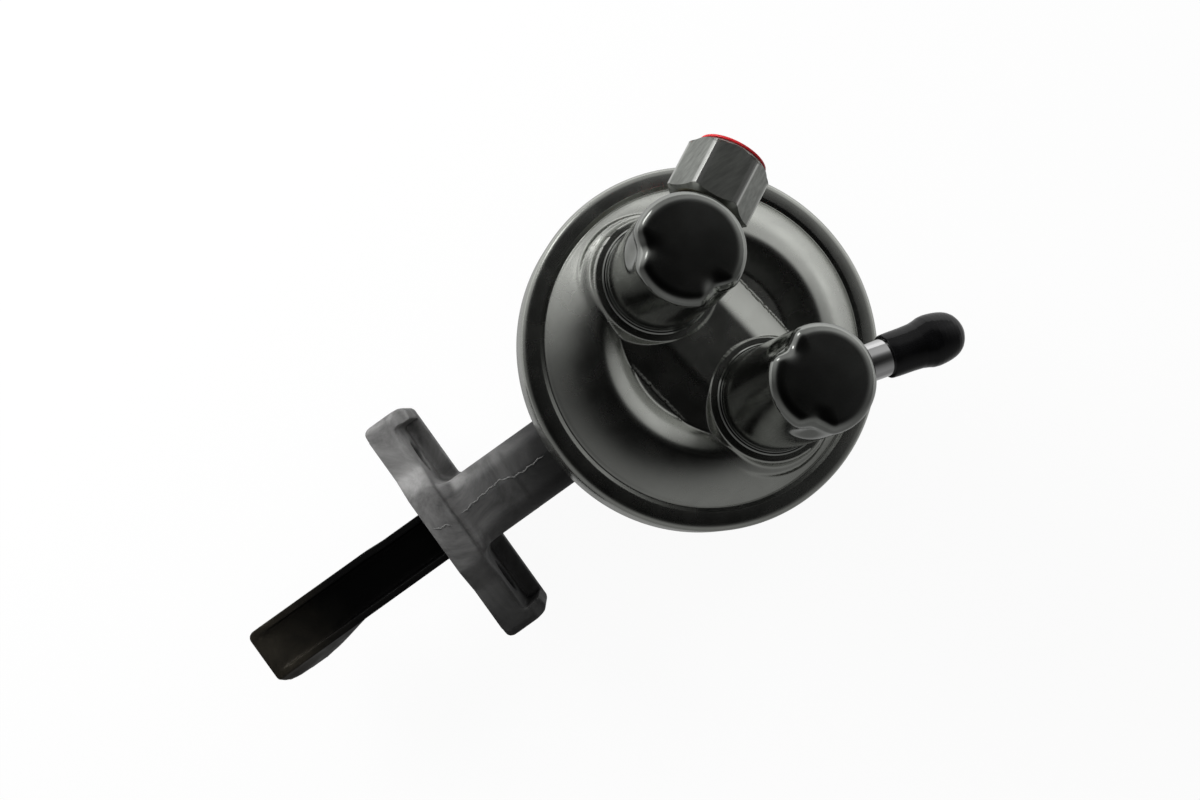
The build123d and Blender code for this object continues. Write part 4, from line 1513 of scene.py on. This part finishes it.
@dataclass
class Studio:
    """White table, soft light and the camera at the photograph's angle."""

    camera_mm: Point3 = (48.55, 6.40, 338.20)
    right: Point3 = (0.81327, -0.58164, 0.01668)
    upward: Point3 = (0.58169, 0.81340, 0.00218)
    lens_mm: float = 39.0
    floor_span: float = 3.0
    floor_grey: float = 0.90
    floor_white: float = 0.94
    mirrored_levels: Point = (0.18, 0.88)
    mirrored_reach: Point = (-0.08, 0.26)
    ceiling: tuple[Point, ...] = (
        (0.0, 0.42), (0.30, 0.40), (0.50, 0.32), (0.58, 0.27),
        (0.67, 0.15), (0.75, 0.05), (0.85, 0.014), (1.0, 0.008),
    )
    sides: tuple[Point, ...] = (
        (0.0, 0.54), (0.15, 0.50), (0.30, 0.37), (0.42, 0.26),
        (0.52, 0.32), (0.70, 0.9), (0.84, 1.45), (1.0, 0.8),
    )
    lamps: tuple[SoftBox, ...] = (
        SoftBox("right_box", (0.72, 0.36, 0.22), (0.7, 0.42), 1.4),
        SoftBox("left_box", (-0.12, 0.55, 0.24), (0.34, 0.26), 4.8),
        SoftBox("glint_box", (0.12, 0.64, 0.30), (0.20, 0.15), 0.2, in_mirrors=True),
        SoftBox("overhead", (0.06, 0.1, 0.9), (0.8, 0.8), 2.8),
    )

    def place_camera(self) -> None:
        """Puts the camera where the photograph was taken."""
        camera = bpy.data.objects.new("camera", bpy.data.cameras.new("camera"))
        bpy.context.scene.collection.objects.link(camera)
        right = Vector(self.right).normalized()
        upward = Vector(self.upward)
        upward = (upward - right * upward.dot(right)).normalized()
        back = right.cross(upward)
        turn = Matrix((right, upward, back)).transposed().to_4x4()
        camera.matrix_world = Matrix.Translation(Vector(self.camera_mm) * MM) @ turn
        camera.data.lens = self.lens_mm
        camera.data.sensor_width = 36.0
        camera.data.clip_start = 0.01
        bpy.context.scene.camera = camera

    def lay_floor(self) -> None:
        """Lays the pale floor under the pump."""
        bm = bmesh.new()
        bmesh.ops.create_grid(bm, x_segments=1, y_segments=1, size=self.floor_span)
        bmesh.ops.translate(bm, verts=bm.verts, vec=(0, 0, CAD_BOX[0][2]))
        mesh = bpy.data.meshes.new("floor")
        bm.to_mesh(mesh)
        bm.free()
        floor = bpy.data.objects.new("floor", mesh)
        bpy.context.scene.collection.objects.link(floor)
        mesh.materials.append(self.floor_material())

    def floor_material(self) -> bpy.types.Material:
        """White to the camera but for the shadow; paler towards the photograph's top in reflections.

        Returns:
            The floor's material.
        """
        s = Shader("floor")
        s.bsdf.inputs["Base Color"].default_value = (self.floor_grey, self.floor_grey, self.floor_grey, 1.0)
        s.bsdf.inputs["Roughness"].default_value = 0.9
        s.bsdf.inputs["Specular IOR Level"].default_value = 0.1
        path = s.nodes.new("ShaderNodeLightPath")
        share = s.nodes.new("ShaderNodeMath")
        share.operation = "MULTIPLY"
        share.inputs[1].default_value = self.floor_white
        s.link(path.outputs["Is Camera Ray"], share.inputs[0])
        white = s.nodes.new("ShaderNodeEmission")
        seen = s.nodes.new("ShaderNodeMixShader")
        s.link(share.outputs["Value"], seen.inputs["Fac"])
        s.link(s.bsdf.outputs["BSDF"], seen.inputs[1])
        s.link(white.outputs["Emission"], seen.inputs[2])
        mirrored = s.nodes.new("ShaderNodeEmission")
        level = s.spread(s.along(self.upward), *self.mirrored_levels, *self.mirrored_reach)
        s.link(level, mirrored.inputs["Strength"])
        both = s.nodes.new("ShaderNodeMixShader")
        s.link(path.outputs["Is Glossy Ray"], both.inputs["Fac"])
        s.link(seen.outputs["Shader"], both.inputs[1])
        s.link(mirrored.outputs["Emission"], both.inputs[2])
        s.link(both.outputs["Shader"], s.nodes["Material Output"].inputs["Surface"])
        return s.material

    def light_world(self) -> None:
        """Sets bright sides under a dark ceiling; the camera sees white."""
        world = bpy.data.worlds.new("studio")
        bpy.context.scene.world = world
        world.use_nodes = True
        tree = world.node_tree
        tree.nodes.clear()
        out = tree.nodes.new("ShaderNodeOutputWorld")
        coord = tree.nodes.new("ShaderNodeTexCoord")
        split = tree.nodes.new("ShaderNodeSeparateXYZ")
        facing = tree.nodes.new("ShaderNodeVectorMath")
        facing.operation = "DOT_PRODUCT"
        facing.inputs[1].default_value = self.upward
        half = tree.nodes.new("ShaderNodeMapRange")
        half.inputs["From Min"].default_value = -1.0
        glow = tree.nodes.new("ShaderNodeBackground")
        white = tree.nodes.new("ShaderNodeBackground")
        pick = tree.nodes.new("ShaderNodeMixShader")
        path = tree.nodes.new("ShaderNodeLightPath")
        level = tree.nodes.new("ShaderNodeMath")
        level.operation = "MULTIPLY"
        tree.links.new(coord.outputs["Generated"], split.inputs["Vector"])
        tree.links.new(coord.outputs["Generated"], facing.inputs[0])
        tree.links.new(facing.outputs["Value"], half.inputs["Value"])
        for source, stops, target in (
            (split.outputs["Z"], self.ceiling, level.inputs[0]),
            (half.outputs["Result"], self.sides, level.inputs[1]),
        ):
            ramp = tree.nodes.new("ShaderNodeValToRGB")
            fill_ramp(ramp, [(position, (grey, grey, grey)) for position, grey in stops])
            tree.links.new(source, ramp.inputs["Fac"])
            tree.links.new(ramp.outputs["Color"], target)
        tree.links.new(level.outputs["Value"], glow.inputs["Strength"])
        white.inputs["Color"].default_value = (1.0, 1.0, 1.0, 1.0)
        glow.inputs["Color"].default_value = (1.0, 1.0, 1.0, 1.0)
        tree.links.new(path.outputs["Is Camera Ray"], pick.inputs["Fac"])
        tree.links.new(glow.outputs["Background"], pick.inputs[1])
        tree.links.new(white.outputs["Background"], pick.inputs[2])
        tree.links.new(pick.outputs["Shader"], out.inputs["Surface"])

    def build(self) -> None:
        """Sets up the whole studio."""
        bpy.context.scene.view_settings.view_transform = "Standard"
        self.place_camera()
        self.lay_floor()
        self.light_world()
        for lamp in self.lamps:
            lamp.build()


def main() -> None:
    """Builds every piece in order and reports it."""
    logging.basicConfig(level=logging.INFO, format="%(message)s")
    look = OuterFinishes()
    LOG.info("cover: %s", PumpCover().build(look.cover.build()).name)
    outlet_cup = ValveCup("outlet_cup_shell", "outlet_cup", 1, LAYOUT.outlet_angle_deg, 31.0)
    inlet_cup = ValveCup("inlet_cup_shell", "inlet_cup", -1, LAYOUT.inlet_angle_deg, 35.5, draft=0.7)
    cup_steel = look.cup.build()
    for cup in (outlet_cup, inlet_cup):
        LOG.info("cup: %s", cup.build(cup_steel).name)
    outlet = OutletFitting()
    LOG.info("hexagon: %s", outlet.hexagon(look.hexagon.build()).name)
    LOG.info("neck: %s", outlet.tube(look.braze.build()).name)
    LOG.info("plug: %s", outlet.plug(look.plug.build()).name)
    inlet = InletFitting()
    LOG.info("tube: %s", inlet.tube(look.tube.build()).name)
    LOG.info("cap: %s", inlet.cap(look.cap.build()).name)
    casting = CastBody().build(look.casting.build())
    LOG.info("casting: %s", casting.name)
    seam_metal = look.seam.build()
    for seam in SEAMS:
        LOG.info("seam: %s", seam.build(casting, seam_metal).name)
    LOG.info("arm: %s", PressedArm().build(look.arm.build()).name)
    LOG.info("inner pieces dressed: %d", InnerFinishes().dress())
    Studio().build()


if __name__ == "__main__":
    main()
